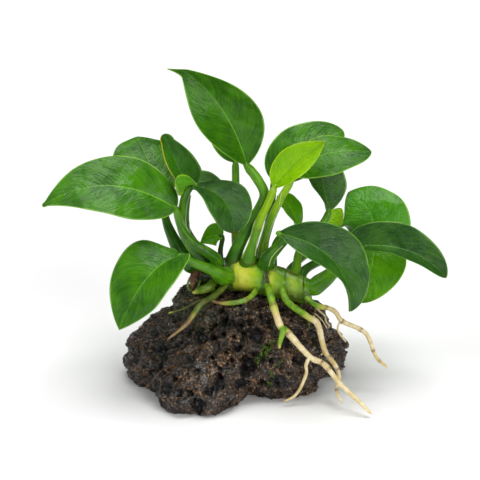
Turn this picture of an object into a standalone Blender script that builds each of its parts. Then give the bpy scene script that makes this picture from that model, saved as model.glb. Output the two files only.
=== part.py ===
"""Anubias on stone: a small broad-leaved water plant that grows over a lump of black lava.

The stone rests on a flat cut at z = 0, and the origin lies on that cut, under the middle of the plant.
X runs to the right along the creeping stem, Y away from the viewer, Z up. Sizes below are millimetres.
"""

import math
from typing import NamedTuple

import bmesh
import bpy
import numpy as np
from mathutils import Quaternion, Vector, noise
from mathutils.bvhtree import BVHTree

MM = 0.001
GAP = 0.3  # clear space between two neighbouring pieces

# Stone: lumps that melt into one another, each a middle and three half-sizes
STONE_MIDDLE = (0, 3, 13)
STONE_LUMPS = (
    ((-4, 4, 12), (32, 24, 15)),
    ((3, 3, 21), (21, 15, 12)),
    ((-13, -15, 6), (16, 15, 12)),
    ((-12, 5, 25), (10, 11, 9.5)),
    ((-28, 3, 6.5), (11.2, 14, 10.5)),
    ((17, -6.5, 10.5), (14, 12.5, 15)),
    ((23, 5, 19), (10, 11, 9)),
    ((31.5, 9, 6.5), (9, 11, 9.2)),
    ((4, 20, 11), (21, 12, 14)),
)
STONE_SHARPNESS = 7.0  # how tightly the lumps keep apart
STONE_REACH = 60.0  # no part of the stone is further from its middle
STONE_FACES_ACROSS = 44  # faces along each side of the cube that the stone is blown up from
STONE_KEPT = 0.106  # share of those faces that the solid keeps
CUTTER_FACES_ACROSS = 22  # the same for the shape that makes room for the creeping stem
CUTTER_GAP = 0.5

# The broken surface of the stone: how high its forms are, and how far apart
SWELLINGS = (1.6, 12)
RIDGES = (1.7, 6)
CRAGS = (0.8, 3.2)

# Pits in the stone: a point towards which each one lies, its radius and its depth
STONE_PITS = (
    ((4, -16, 14), 3.6, 3.2),
    ((1.5, -20, 9), 3.0, 2.6),
    ((-5, -22, 11), 2.8, 2.2),
    ((-12, -28, 5), 3.2, 2.6),
    ((-21, -22, 9), 3.0, 2.2),
    ((-24, -12, 17), 2.8, 2.2),
    ((-31, -6, 12), 3.2, 2.4),
    ((-14, -14, 23), 3.0, 2.2),
    ((-4, -9, 26), 2.6, 2.0),
    ((8, -14, 24), 3.0, 2.4),
    ((19, -14, 22), 2.8, 2.2),
    ((14, -18, 9), 3.2, 2.6),
    ((27, -8, 9), 3.0, 2.4),
    ((34, -2, 14), 3.0, 2.4),
    ((38, 8, 7), 3.2, 2.4),
    ((30, 18, 14), 3.2, 2.6),
    ((20, 28, 10), 3.0, 2.2),
    ((9, 32, 15), 3.6, 3.0),
    ((2, 26, 24), 3.0, 2.4),
    ((-8, 32, 8), 3.2, 2.4),
    ((-18, 26, 15), 3.4, 2.8),
    ((-28, 18, 18), 3.0, 2.4),
    ((-39, 6, 8), 3.2, 2.4),
)

# Creeping stem: points along its middle, and its radius at each
RHIZOME = ((-15, 6, 39), (-9, 5.5, 40), (2, 3, 41), (12, 0, 40), (21, -2, 38), (27, -3.5, 36))
RHIZOME_RADII = (3.0, 4.6, 4.9, 4.8, 4.2, 3.4)
RING_SPACING = 6.0  # between two leaf scars along the creeping stem
RING_HEIGHT = 0.35
RHIZOME_RINGS = 24
RHIZOME_SIDES = 12

# Blade thickness at the midrib, between it and the margin, and at the margin
MIDRIB_THICKNESS = 1.6
BLADE_THICKNESS = 0.8
MARGIN_THICKNESS = 0.5

BLADE_ENDS = 0.006  # share of the length left off at each end, where the blade would come to nothing
LOBE_SHARE = 0.12  # share of the length at which a heart-shaped base runs back furthest


class Leaf(NamedTuple):
    """One leaf, its blade's midrib running from base through middle to tip."""

    name: str
    base: tuple
    middle: tuple
    tip: tuple
    width: float
    turn: float  # degrees that the face is turned about the midrib, anticlockwise seen from the tip
    fold: float  # degrees that each half is lifted
    shape: tuple  # bluntness of the base and of the tip: small is blunt
    stalk: tuple  # points from the creeping stem to the base
    radii: tuple  # of the stalk, evenly spread along it
    curl: float = 0  # how far the margins bend up, or down if negative, as a share of the half width
    lobe: float = 0  # how far the base runs back beside the stalk, as a share of the length
    twist: float = 0  # degrees that the face turns on from base to tip


LEAVES = (
    Leaf("far_left", (-20.5, -2, 66.2), (-43.4, -4.9, 75.5), (-66.4, -9, 69.4),
         width=24.5, turn=-40, fold=8, shape=(0.73, 1.01), curl=-0.11, lobe=0.03, twist=24,
         stalk=((-4, 3, 42), (-7.5, 0, 47.5), (-14, -2, 53), (-18.5, -2, 58.6), (-20.5, -2, 65.7)),
         radii=(2.3, 1.7, 1.3)),
    Leaf("low_left", (-18.7, -11, 52.6), (-30.4, -17.7, 46.2), (-39.8, -20, 28.5),
         width=27, turn=-29, fold=22, shape=(0.6, 0.91), curl=-0.13, lobe=0.14, twist=-52,
         stalk=((0, 0, 40), (-2.5, -3, 41.5), (-7.5, -7, 45.5), (-13.4, -10, 48.8), (-18.2, -11, 52.1)),
         radii=(2.9, 1.9, 1.1)),
    Leaf("upper_left", (-25.8, 12, 66.8), (-32.6, 23.4, 78.2), (-36, 31, 82.7),
         width=24.3, turn=-4, fold=1, shape=(0.51, 0.65), curl=-0.18, twist=-12,
         stalk=((-14, 6, 40), (-18.5, 6.5, 45), (-22, 8, 51), (-24.9, 10, 58.2), (-25.8, 12, 65.8)),
         radii=(1.9, 1.4, 1.2)),
    Leaf("upright", (-16.5, 8, 68.5), (-19.4, 6.6, 76.7), (-25.2, 9, 89.8),
         width=13.1, turn=-39, fold=21, shape=(0.63, 0.75), curl=0.24, twist=-54,
         stalk=((-12, 6.5, 41), (-14, 10, 45), (-17, 10.5, 50), (-17.8, 9, 59.3), (-16.5, 8, 68)),
         radii=(1.6, 1.4, 1.1)),
    Leaf("middle", (-14.9, -1.8, 74.5), (-4.5, -9.3, 72), (-0.5, -12, 60.9),
         width=19.4, turn=11, fold=19, shape=(0.9, 0.66), curl=-0.11, twist=18,
         stalk=((-9.5, 4.5, 41), (-12, 4.5, 45.5), (-16.1, 4, 51), (-18.9, 2.6, 58), (-18.5, 0.5, 65.4),
                (-16.9, -1.6, 72), (-14.9, -1.8, 74.5)),
         radii=(1.7, 1.4, 1.2)),
    Leaf("behind_middle", (-17, 14.5, 71.4), (-10.5, 13, 70.9), (-3.5, 12, 67.9),
         width=9, turn=40, fold=4, shape=(0.5, 0.7),
         stalk=((-7, 6.5, 41), (-9, 10.8, 44), (-15.2, 14.2, 48.5), (-18.6, 14.6, 56.5), (-17.9, 14.7, 65.5),
                (-17, 14.5, 70.9)),
         radii=(1.5, 1.2, 1)),
    Leaf("top", (3.9, 4, 80.1), (-5, 1.2, 101.2), (-19, 1, 115.2),
         width=22.5, turn=-88, fold=25, shape=(0.82, 1.12), curl=0.17, twist=-53,
         stalk=((-1.5, 3, 42), (-0.5, 3, 47), (3.5, 4, 55.5), (8, 4.5, 63.5), (10, 4, 69.5), (7.5, 4, 75.1),
                (4.4, 4, 79.1)),
         radii=(2.4, 1.9, 1.6)),
    Leaf("behind_top", (0, 14, 78), (-1.5, 20, 88.5), (-5, 28, 96),
         width=18, turn=0, fold=8, shape=(0.5, 0.8),
         stalk=((1, 4.5, 42), (0.5, 8.5, 46.5), (0, 10.5, 53), (0, 12, 65), (0, 14, 77)),
         radii=(1.9, 1.5, 1.3)),
    Leaf("upper_right", (13.5, 10, 72.3), (23.6, 17.7, 81.1), (38.8, 28, 85.7),
         width=20.1, turn=34, fold=8, shape=(0.54, 0.6), curl=0.02, twist=2,
         stalk=((7.8, 4.4, 42), (9.3, 8.8, 47.9), (12, 10.5, 58.4), (13.5, 10, 71.3)),
         radii=(1.7, 1.4, 1.2)),
    Leaf("level_right", (18, 6, 76.6), (31.1, 4.9, 83.7), (47.1, 7, 84),
         width=18.3, turn=33, fold=-4, shape=(0.71, 0.61), curl=-0.01, twist=-22,
         stalk=((9.5, 2.4, 42.4), (10, 2.5, 51.8), (12, 3, 59.5), (14.5, 5, 68.1), (17.5, 6, 75.6)),
         radii=(1.9, 1.4, 1.3)),
    Leaf("young", (13.2, 0, 73.2), (21.5, 0, 82.8), (30.4, -2, 90.3),
         width=11.8, turn=67, fold=19, shape=(0.62, 0.86), curl=0.24, twist=34,
         stalk=((4, 0, 43), (5, -0.5, 49), (6.5, -1, 54.5), (8.5, -1, 62), (11.1, 0, 67.3), (13.2, 0, 72.2)),
         radii=(3.3, 1.6, 1.4, 1.3)),
    Leaf("right_dark", (33.4, 13, 60.2), (31.4, 21, 68.2), (30.5, 22, 76.6),
         width=17.8, turn=18, fold=17, shape=(0.87, 0.87), curl=0.05, twist=-20,
         stalk=((20, -1.5, 39), (21.5, 0.5, 43.5), (22.5, 4, 48), (28, 9, 53.5), (31.7, 12, 56.9),
                (32.9, 13, 59.7)),
         radii=(1.6, 1.3, 1.3)),
    Leaf("small_middle", (22.2, 7, 56.9), (18.6, 9.8, 63.5), (14.7, 12, 66.1),
         width=11.7, turn=1, fold=11, shape=(0.5, 0.71), curl=-0.02, twist=-18,
         stalk=((13.3, 3, 42), (13.6, 5.7, 48.5), (15.5, 6.5, 52.5), (18.9, 7, 54.9), (22.2, 7, 56.4)),
         radii=(1.6, 1.2, 1)),
    Leaf("round_right", (47.8, 18, 44.4), (49.5, 20.2, 55.7), (41.3, 29, 62),
         width=26.9, turn=-32, fold=0, shape=(0.43, 0.64), curl=-0.12, lobe=0.03, twist=30,
         stalk=((22.5, -1.5, 38), (24.5, 4, 41), (32, 11.5, 42), (42, 17.5, 40.6), (47.1, 18.8, 41.3),
                (47.8, 18.4, 43.5)),
         radii=(1.7, 1.4, 1.1)),
    Leaf("far_right", (38.9, 0, 50.5), (57.8, -3, 51.8), (73.7, -4, 41.4),
         width=18.4, turn=35, fold=39, shape=(0.41, 0.66), curl=-0.08, twist=25,
         stalk=((25, -3.5, 36), (29.5, -4, 39), (34, -3.5, 43), (37.2, -1.5, 47.7), (38.4, 0, 50)),
         radii=(2.2, 1.7, 1.3)),
    Leaf("hanging_right", (49.4, 7, 49.9), (48, 2.4, 42.1), (44.9, 2, 29.4),
         width=23.7, turn=-30, fold=3, shape=(0.36, 0.72), curl=0.02, twist=14,
         stalk=((25.5, -2.5, 36.5), (28.5, 1, 38.5), (35, 7.5, 40.2), (43, 11.5, 45), (47.7, 10.5, 49),
                (49.4, 8, 50.4)),
         radii=(1.6, 1.3, 1.2)),
    Leaf("front_right", (14.6, -12, 60.9), (33.3, -14.4, 51.7), (39, -19, 34.9),
         width=21.5, turn=24, fold=24, shape=(0.78, 0.66), curl=0.11, twist=-50,
         stalk=((10.2, -1, 42), (10.8, -3.4, 48.2), (13.3, -7, 52.5), (15, -9.2, 55), (13.8, -10.7, 58.4)),
         radii=(2.2, 2, 1.3)),
    Leaf("small_right", (34.5, 28.5, 46), (36.5, 30.5, 50.5), (39.3, 33, 54.6),
         width=10, turn=0, fold=8, shape=(0.5, 0.7),
         stalk=((18, 0.5, 39), (20, 5.5, 41.5), (25, 14, 42.7), (31, 23, 43.6), (34.5, 28.5, 45.1)),
         radii=(1.5, 1.2, 1)),
    Leaf("small_left", (-4.7, 6, 52.9), (-8.9, 5.6, 53.5), (-12.4, 2, 52.1),
         width=9.6, turn=-66, fold=32, shape=(0.54, 0.46), curl=-0.04, twist=-27,
         stalk=((-5, 4.5, 42), (-5.5, 7, 47), (-4.7, 6.5, 52.4)),
         radii=(1.2, 0.9, 0.8)),
)

LARGE_BLADE = 18.2  # blades wider than this get the finer grid
FINE_GRID = (8, 6)  # faces along and across the blade
PLAIN_GRID = (7, 4)
STALK_SIDES = 6
STALK_RINGS = 8
STALK_STOPS_SHORT = 1.5  # before the blade's base


class Root(NamedTuple):
    """One root, from inside the creeping stem to its tip."""

    name: str
    route: tuple
    radii: tuple
    rings: int


ROOTS = (
    Root("root_left", ((-2, 2, 38), (-7.5, -5.5, 35.2), (-12, -10, 34), (-16, -14, 29.5), (-18.5, -16, 27.5),
                       (-23.5, -19, 24.5)),
         radii=(0.9, 0.9, 0.8, 0.6), rings=10),
    Root("root_left_thin", ((-13.5, -9, 34.5), (-17.5, -10, 32.5), (-23.5, -10, 30.5)),
         radii=(0.4, 0.4, 0.3), rings=5),
    Root("root_left_short", ((-7, 2, 38.5), (-11, -2, 36.5), (-14.5, -3, 36)),
         radii=(1.0, 1.1, 0.5), rings=5),
    Root("root_middle", ((8, 0, 38), (4, -8, 34.5), (1, -10, 34.5), (-5, -10, 34.2), (-8.5, -9, 34.7)),
         radii=(0.8, 0.7, 0.4), rings=9),
    Root("root_long_front", ((11, -1, 39), (12, -9, 37), (14, -15, 32), (15.5, -17, 28.5), (18, -18, 26.5),
                             (25.5, -20, 18.5), (30.5, -21, 16), (36, -24, 10), (42.5, -28, 5),
                             (46.5, -30, 1.5)),
         radii=(1.3, 1.2, 1.2, 1.0, 0.9, 0.8, 0.6), rings=18),
    Root("root_front_stub", ((15.7, -20.3, 26.3), (15.2, -20.5, 24), (15, -21, 22)),
         radii=(0.9, 0.8, 0.4), rings=4),
    Root("root_front_side", ((24, -22, 16), (24.5, -21, 13), (23.5, -21, 9.5), (22, -21, 6), (20, -21, 3.5),
                             (16.5, -22, 2)),
         radii=(0.5, 0.5, 0.4), rings=8),
    Root("root_long_right", ((15.5, -2, 39), (18, -9, 34.5), (25, -12, 30), (28.5, -13, 27.5),
                             (31, -15, 18.5), (34.5, -17, 14), (36, -19, 10.5), (35, -22, 6.5),
                             (37, -24, 2.5)),
         radii=(1.2, 1.2, 1.1, 0.9, 0.7, 0.6), rings=16),
    Root("root_far_right", ((22, -3, 37), (27.5, -8, 33), (32.5, -8, 31.5), (35, -8, 30), (37.5, -8, 26.5),
                            (43.5, -9, 24), (46.5, -10, 21.5), (49.5, -10.5, 14), (53.5, -12, 10.5)),
         radii=(1.1, 0.9, 0.8, 0.7, 0.5), rings=14),
    Root("root_right_side", ((36, -8, 25.5), (36, -8, 23), (37.5, -8, 20.5), (39, -8, 18.5)),
         radii=(0.4, 0.4, 0.3), rings=5),
    Root("root_right_thin", ((25, -2, 33), (29.5, 1, 27), (31.5, 2, 24), (33.5, 3, 19)),
         radii=(0.4, 0.4, 0.3), rings=8),
)
ROOT_SIDES = 5
ROOT_CLEARANCE = 0.25  # on top of the gap, because the stone's faces are uneven

# What is left of a dead leaf stalk at the left end of the creeping stem
OLD_STUB = ((-13, 3.5, 40.5), (-15.5, 1, 40), (-15.5, 0.5, 35.8))
OLD_STUB_RADII = (1.2, 1.3, 0.8)
OLD_STUB_RINGS = 6

LEAF_GREEN = (0.025, 0.12, 0.012)
YOUNG_GREEN = (0.16, 0.36, 0.01)
STALK_GREEN = (0.08, 0.22, 0.015)
RHIZOME_GREEN = (0.16, 0.25, 0.02)
ROOT_CREAM = (0.62, 0.5, 0.28)
DEAD_BROWN = (0.12, 0.05, 0.025)
STONE_BLACK = (0.03, 0.026, 0.024)


def material(name, colour, roughness):
    """A plain coloured surface."""
    made = bpy.data.materials.new(name)
    made.use_nodes = True
    surface = made.node_tree.nodes["Principled BSDF"]
    surface.inputs["Base Color"].default_value = (*colour, 1)
    surface.inputs["Roughness"].default_value = roughness
    return made


def finished(name, bm, surface):
    """An object in metres from a shape drawn in millimetres, smooth but for its sharp edges."""
    bmesh.ops.recalc_face_normals(bm, faces=bm.faces)
    bmesh.ops.scale(bm, vec=(MM, MM, MM), verts=bm.verts)
    mesh = bpy.data.meshes.new(name)
    bm.to_mesh(mesh)
    bm.free()
    mesh.shade_smooth()
    mesh.set_sharp_from_angle(angle=math.radians(50))
    mesh.materials.append(surface)
    made = bpy.data.objects.new(name, mesh)
    bpy.context.scene.collection.objects.link(made)
    return made


def as_cutter(cutter):
    cutter.hide_render = True
    cutter.display_type = "WIRE"
    return cutter


def cut_away(piece, cutter):
    modifier = piece.modifiers.new("clearance", "BOOLEAN")
    modifier.operation = "DIFFERENCE"
    modifier.solver = "EXACT"
    modifier.object = cutter


# Round stalks, roots and the creeping stem


def smooth_route(points, count):
    """Evenly spaced points on a smooth curve through the given ones."""
    given = [Vector(point) for point in points]
    padded = [2 * given[0] - given[1], *given, 2 * given[-1] - given[-2]]
    dense = []
    for a, b, c, d in zip(padded, padded[1:], padded[2:], padded[3:]):
        for step in range(12):
            t = step / 12
            bend = (2 * a - 5 * b + 4 * c - d) * t * t + (3 * b - a - 3 * c + d) * t**3
            dense.append((2 * b + (c - a) * t + bend) / 2)
    dense = np.array([*dense, given[-1]])
    travelled = np.concatenate([[0], np.cumsum(np.linalg.norm(np.diff(dense, axis=0), axis=1))])
    wanted = np.linspace(0, travelled[-1], count)
    return [Vector(np.interp(at, travelled, dense[:, axis]) for axis in range(3)) for at in wanted]


def spread(values, count):
    """The few values given, eased out evenly over count places."""
    return np.interp(np.linspace(0, 1, count), np.linspace(0, 1, len(values)), values)


def directions(route):
    """The way that the route runs at each of its points."""
    ahead = [*route[1:], 2 * route[-1] - route[-2]]
    behind = [2 * route[0] - route[1], *route[:-1]]
    return [(b - a).normalized() for a, b in zip(behind, ahead)]


def tube(route, radii, sides):
    """A closed tube along the route, its rings turned as little as possible from one to the next."""
    bm = bmesh.new()
    rings = []
    across = None
    way_before = None
    for place, way, radius in zip(route, directions(route), radii):
        if across is None:
            across = way.orthogonal().normalized()
        else:
            across = way_before.rotation_difference(way) @ across
        way_before = way
        ring = []
        for side in range(sides):
            turn = Quaternion(way, math.tau * side / sides)
            ring.append(bm.verts.new(place + turn @ across * radius))
        rings.append(ring)
    for lower, upper in zip(rings, rings[1:]):
        for side in range(sides):
            after = (side + 1) % sides
            bm.faces.new((lower[side], lower[after], upper[after], upper[side]))
    bm.faces.new(reversed(rings[0]))
    bm.faces.new(rings[-1])
    return bm


# The stone


def on_stone(direction):
    """How far the stone reaches from its middle along each direction, before its roughness."""
    reach = np.linspace(0, STONE_REACH, 181)
    field = np.zeros((len(direction), len(reach)))
    places = np.array(STONE_MIDDLE) + direction[:, None, :] * reach[None, :, None]
    for middle, sizes in STONE_LUMPS:
        away = np.linalg.norm((places - np.array(middle)) / np.array(sizes), axis=2)
        field += np.exp(STONE_SHARPNESS * (1 - away))
    inside = field >= 1
    last = len(reach) - 1 - np.argmax(inside[:, ::-1], axis=1)
    rows = np.arange(len(direction))
    here = field[rows, last]
    beyond = field[rows, last + 1]
    return reach[last] + (here - 1) / (here - beyond) * (reach[1] - reach[0])


def roughness(place):
    """Height of the broken surface at a place: broad swellings, sharp ridges and small crags."""
    broad = SWELLINGS[0] * noise.noise(place / SWELLINGS[1])
    ridge = RIDGES[0] * (0.5 - abs(noise.noise(place / RIDGES[1] + Vector((7, 3, 1)))) * 2)
    crag = CRAGS[0] * noise.noise(place / CRAGS[1] + Vector((1, 5, 9)))
    return broad + ridge + crag


def stone_surface(faces_across, grown):
    """The stone's closed surface, moved outwards by grown."""
    bm = bmesh.new()
    bmesh.ops.create_cube(bm, size=2)
    bmesh.ops.subdivide_edges(bm, edges=bm.edges, cuts=faces_across - 1, use_grid_fill=True)
    direction = np.array([vert.co.normalized() for vert in bm.verts])
    middle = np.array(STONE_MIDDLE)
    places = middle + direction * on_stone(direction)[:, None]
    dent = np.zeros(len(places))
    for towards, radius, depth in STONE_PITS:
        aim = np.array(towards) - middle
        aim = aim / np.linalg.norm(aim)
        heart = middle + aim * on_stone(aim[None, :])[0]
        near = np.clip(1 - (np.linalg.norm(places - heart, axis=1) / radius) ** 2, 0, 1)
        dent = np.maximum(dent, depth * near)
    for vert, place, way, pit in zip(bm.verts, places, direction, dent):
        vert.co = Vector(place) + Vector(way) * (roughness(Vector(place)) - pit + grown)
    return bm


def make_stone(surface):
    """The stone with fewer and uneven faces, cut off flat where it rests."""
    whole = finished("whole_stone", stone_surface(STONE_FACES_ACROSS, 0), surface)
    fewer = whole.modifiers.new("fewer faces", "DECIMATE")
    fewer.ratio = STONE_KEPT
    bm = bmesh.new()
    bm.from_object(whole, bpy.context.evaluated_depsgraph_get())
    bpy.data.objects.remove(whole)
    bmesh.ops.scale(bm, vec=(1 / MM, 1 / MM, 1 / MM), verts=bm.verts)
    everything = [*bm.verts, *bm.edges, *bm.faces]
    downward = Vector((0, 0, -1))
    cut = bmesh.ops.bisect_plane(bm, geom=everything, plane_no=downward, clear_outer=True)
    rim = [part for part in cut["geom_cut"] if isinstance(part, bmesh.types.BMEdge)]
    bmesh.ops.edgeloop_fill(bm, edges=rim)
    return finished("stone", bm, surface)


# Leaves


def blade_width(leaf, share):
    """Half the blade's width at a share of its length."""
    blunt_base, blunt_tip = leaf.shape
    widest = blunt_base / (blunt_base + blunt_tip)
    rise = (share / widest) ** blunt_base
    fall = ((1 - share) / (1 - widest)) ** blunt_tip
    return leaf.width / 2 * rise * fall


def blade_place(leaf, share, across):
    """A point of the blade's middle surface and the way that its face looks there.

    share runs from 0 at the base to 1 at the tip, across from -1 at one margin to 1 at the other.
    """
    base, middle, tip = Vector(leaf.base), Vector(leaf.middle), Vector(leaf.tip)
    bend = 2 * middle - (base + tip) / 2
    half = blade_width(leaf, share)
    run_back = leaf.lobe * (share / LOBE_SHARE) * math.exp(1 - share / LOBE_SHARE)
    along = share - run_back * abs(across) ** 1.5
    held = max(along, 0)
    place = (1 - held) ** 2 * base + 2 * held * (1 - held) * bend + held**2 * tip
    way = ((1 - held) * (bend - base) + held * (tip - bend)) * 2
    place += way * min(along, 0)
    chord = (tip - base).normalized()
    upward = Vector((0, 0, 1))
    upward = (upward - upward.project(chord)).normalized()
    face = Quaternion(chord, math.radians(leaf.turn + leaf.twist * (share - 0.5))) @ upward
    face = (face - face.project(way)).normalized()
    right = way.cross(face).normalized()
    lift = math.radians(leaf.fold)
    place += right * (half * across * math.cos(lift))
    place += face * (half * abs(across) * math.sin(lift) + half * leaf.curl * across**2)
    return place, face


def make_blade(leaf, surface):
    """A thin closed blade whose midrib stands out underneath."""
    rows, columns = FINE_GRID if leaf.width > LARGE_BLADE else PLAIN_GRID
    bm = bmesh.new()
    top, under = [], []
    for row in range(rows + 1):
        share = BLADE_ENDS + (1 - 2 * BLADE_ENDS) * (1 - math.cos(math.pi * row / rows)) / 2
        top.append([])
        under.append([])
        for column in range(columns + 1):
            across = 2 * column / columns - 1
            place, face = blade_place(leaf, share, across)
            thickness = BLADE_THICKNESS + (MARGIN_THICKNESS - BLADE_THICKNESS) * abs(across)
            if across == 0:
                thickness = MIDRIB_THICKNESS + (MARGIN_THICKNESS - MIDRIB_THICKNESS) * share
            top[-1].append(bm.verts.new(place + face * MARGIN_THICKNESS / 2))
            under[-1].append(bm.verts.new(place + face * (MARGIN_THICKNESS / 2 - thickness)))
    for sheet in (top, under):
        for row in range(rows):
            for column in range(columns):
                corners = [sheet[row][column], sheet[row + 1][column]]
                corners += [sheet[row + 1][column + 1], sheet[row][column + 1]]
                bm.faces.new(corners)
    rim = [(row, 0) for row in range(rows)]
    rim += [(rows, column) for column in range(columns)]
    rim += [(row, columns) for row in range(rows, 0, -1)]
    rim += [(0, column) for column in range(columns, 0, -1)]
    for (row, column), (next_row, next_column) in zip(rim, [*rim[1:], rim[0]]):
        corners = [top[row][column], top[next_row][next_column]]
        corners += [under[next_row][next_column], under[row][column]]
        bm.faces.new(corners)
    return finished("leaf_" + leaf.name, bm, surface)


def make_stalk(leaf, surface):
    """The stalk, broad where it clasps the creeping stem, stopping just short of the blade."""
    route = smooth_route(leaf.stalk, STALK_RINGS)
    blade_base = Vector(leaf.base)
    route[-1] = blade_base + (route[-2] - blade_base).normalized() * STALK_STOPS_SHORT
    radii = spread(leaf.radii, STALK_RINGS)
    return finished("stalk_" + leaf.name, tube(route, radii, STALK_SIDES), surface)


# The whole plant


def rhizome_tube(grown):
    """The creeping stem, swollen a little at each leaf scar."""
    route = smooth_route(RHIZOME, RHIZOME_RINGS)
    length = sum((b - a).length for a, b in zip(route, route[1:]))
    radii = []
    for place, radius in enumerate(spread(RHIZOME_RADII, RHIZOME_RINGS)):
        scar = abs(math.cos(math.pi * place / (RHIZOME_RINGS - 1) * length / RING_SPACING))
        radii.append(radius + RING_HEIGHT * scar**6 + grown)
    route[0] -= (route[1] - route[0]).normalized() * grown
    route[-1] += (route[-1] - route[-2]).normalized() * grown
    return tube(route, radii, RHIZOME_SIDES)


def clear_of_stone(route, radii, stone_tree):
    """The route, moved out wherever a tube along it would come too near to the stone."""
    moved = []
    for place, radius in zip(route, radii):
        near, normal, _, away = stone_tree.find_nearest(place * MM)
        near /= MM
        away /= MM
        inside = (place - near).dot(normal) < 0
        wanted = radius + GAP + ROOT_CLEARANCE
        if inside or away < wanted:
            place = near + normal * wanted
        moved.append(place)
    return moved


def main():
    for old in list(bpy.data.objects):
        bpy.data.objects.remove(old)
    lava_black = material("lava stone", STONE_BLACK, 0.6)
    leaf_green = material("leaf", LEAF_GREEN, 0.35)
    young_green = material("young leaf", YOUNG_GREEN, 0.4)
    stalk_green = material("stalk", STALK_GREEN, 0.4)
    rhizome_green = material("creeping stem", RHIZOME_GREEN, 0.4)
    root_cream = material("root", ROOT_CREAM, 0.5)
    dead_brown = material("dead stalk", DEAD_BROWN, 0.8)

    stone = make_stone(lava_black)
    room_for_stone = stone_surface(CUTTER_FACES_ACROSS, CUTTER_GAP)
    stone_cutter = as_cutter(finished("stone_cutter", room_for_stone, lava_black))
    rhizome = finished("rhizome", rhizome_tube(0), rhizome_green)
    cut_away(rhizome, stone_cutter)
    rhizome_cutter = as_cutter(finished("rhizome_cutter", rhizome_tube(GAP), rhizome_green))

    for leaf in LEAVES:
        make_blade(leaf, young_green if leaf.name == "young" else leaf_green)
        cut_away(make_stalk(leaf, stalk_green), rhizome_cutter)

    graph = bpy.context.evaluated_depsgraph_get()
    stone_tree = BVHTree.FromObject(stone, graph)
    for root in ROOTS:
        radii = spread(root.radii, root.rings)
        route = clear_of_stone(smooth_route(root.route, root.rings), radii, stone_tree)
        cut_away(finished(root.name, tube(route, radii, ROOT_SIDES), root_cream), rhizome_cutter)
    stub_route = smooth_route(OLD_STUB, OLD_STUB_RINGS)
    stub = tube(stub_route, spread(OLD_STUB_RADII, OLD_STUB_RINGS), STALK_SIDES)
    cut_away(finished("old_stalk_stub", stub, dead_brown), rhizome_cutter)


main()
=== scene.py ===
"""Anubias on stone, dressed for its picture.

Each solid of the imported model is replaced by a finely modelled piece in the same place: the porous stone,
the veined leaf blades, their stalks, the ringed creeping stem and the roots. Lengths are millimetres until a
shape becomes an object, and X runs to the right, Y away from the viewer, Z up.
"""

import math
from typing import NamedTuple

import bmesh
import bpy
import numpy as np
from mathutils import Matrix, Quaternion, Vector, noise
from mathutils.bvhtree import BVHTree


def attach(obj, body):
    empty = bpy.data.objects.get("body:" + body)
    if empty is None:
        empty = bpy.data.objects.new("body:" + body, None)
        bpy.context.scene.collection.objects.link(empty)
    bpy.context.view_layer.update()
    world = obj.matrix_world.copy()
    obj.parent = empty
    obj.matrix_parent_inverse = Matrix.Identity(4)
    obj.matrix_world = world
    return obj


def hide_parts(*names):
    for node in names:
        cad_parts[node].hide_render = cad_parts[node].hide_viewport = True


MM = 0.001

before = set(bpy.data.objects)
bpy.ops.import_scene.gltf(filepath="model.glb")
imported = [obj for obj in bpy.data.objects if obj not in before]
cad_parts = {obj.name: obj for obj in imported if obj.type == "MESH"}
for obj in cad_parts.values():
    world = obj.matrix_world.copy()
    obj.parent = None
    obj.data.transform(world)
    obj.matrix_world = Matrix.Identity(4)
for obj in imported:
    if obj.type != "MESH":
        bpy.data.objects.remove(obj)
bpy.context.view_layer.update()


# Stone: lumps that melt into one another, each a middle and three half-sizes

STONE_MIDDLE = (0, 3, 13)
STONE_LUMPS = (
    ((-4, 4, 12), (32, 24, 15)),
    ((3, 3, 21), (21, 15, 12)),
    ((-13, -15, 6), (16, 15, 12)),
    ((-12, 5, 25), (10, 11, 9.5)),
    ((-28, 3, 6.5), (11.2, 14, 10.5)),
    ((17, -6.5, 10.5), (14, 12.5, 15)),
    ((23, 5, 19), (10, 11, 9)),
    ((31.5, 9, 6.5), (9, 11, 9.2)),
    ((4, 20, 11), (21, 12, 14)),
)
STONE_SHARPNESS = 7.0
STONE_REACH = 60.0
STONE_STEPS = 181  # places along each direction at which its surface is looked for
STONE_BATCH = 3000  # directions that are looked along at once
STONE_FACES_ACROSS = 126
STONE_STRETCH = (1.7, 1.25, 0.9)  # crowds the faces towards the stone's far ends, so that all are of one size
SWELLINGS = (1.6, 12)  # height and spacing, as for the next two
RIDGES = (2.0, 6)
CRAGS = (1.1, 3.4)
GRIT = ((0.8, 1.7), (0.6, 0.95))
STONE_PITS = (
    ((4, -16, 14), 3.6, 3.2),
    ((1.5, -20, 9), 3.0, 2.6),
    ((-5, -22, 11), 2.8, 2.2),
    ((-12, -28, 5), 3.2, 2.6),
    ((-21, -22, 9), 3.0, 2.2),
    ((-24, -12, 17), 2.8, 2.2),
    ((-31, -6, 12), 3.2, 2.4),
    ((-14, -14, 23), 3.0, 2.2),
    ((-4, -9, 26), 2.6, 2.0),
    ((8, -14, 24), 3.0, 2.4),
    ((19, -14, 22), 2.8, 2.2),
    ((14, -18, 9), 3.2, 2.6),
    ((27, -8, 9), 3.0, 2.4),
    ((34, -2, 14), 3.0, 2.4),
    ((38, 8, 7), 3.2, 2.4),
    ((30, 18, 14), 3.2, 2.6),
    ((20, 28, 10), 3.0, 2.2),
    ((9, 32, 15), 3.6, 3.0),
    ((2, 26, 24), 3.0, 2.4),
    ((-8, 32, 8), 3.2, 2.4),
    ((-18, 26, 15), 3.4, 2.8),
    ((-28, 18, 18), 3.0, 2.4),
    ((-39, 6, 8), 3.2, 2.4),
)

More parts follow.
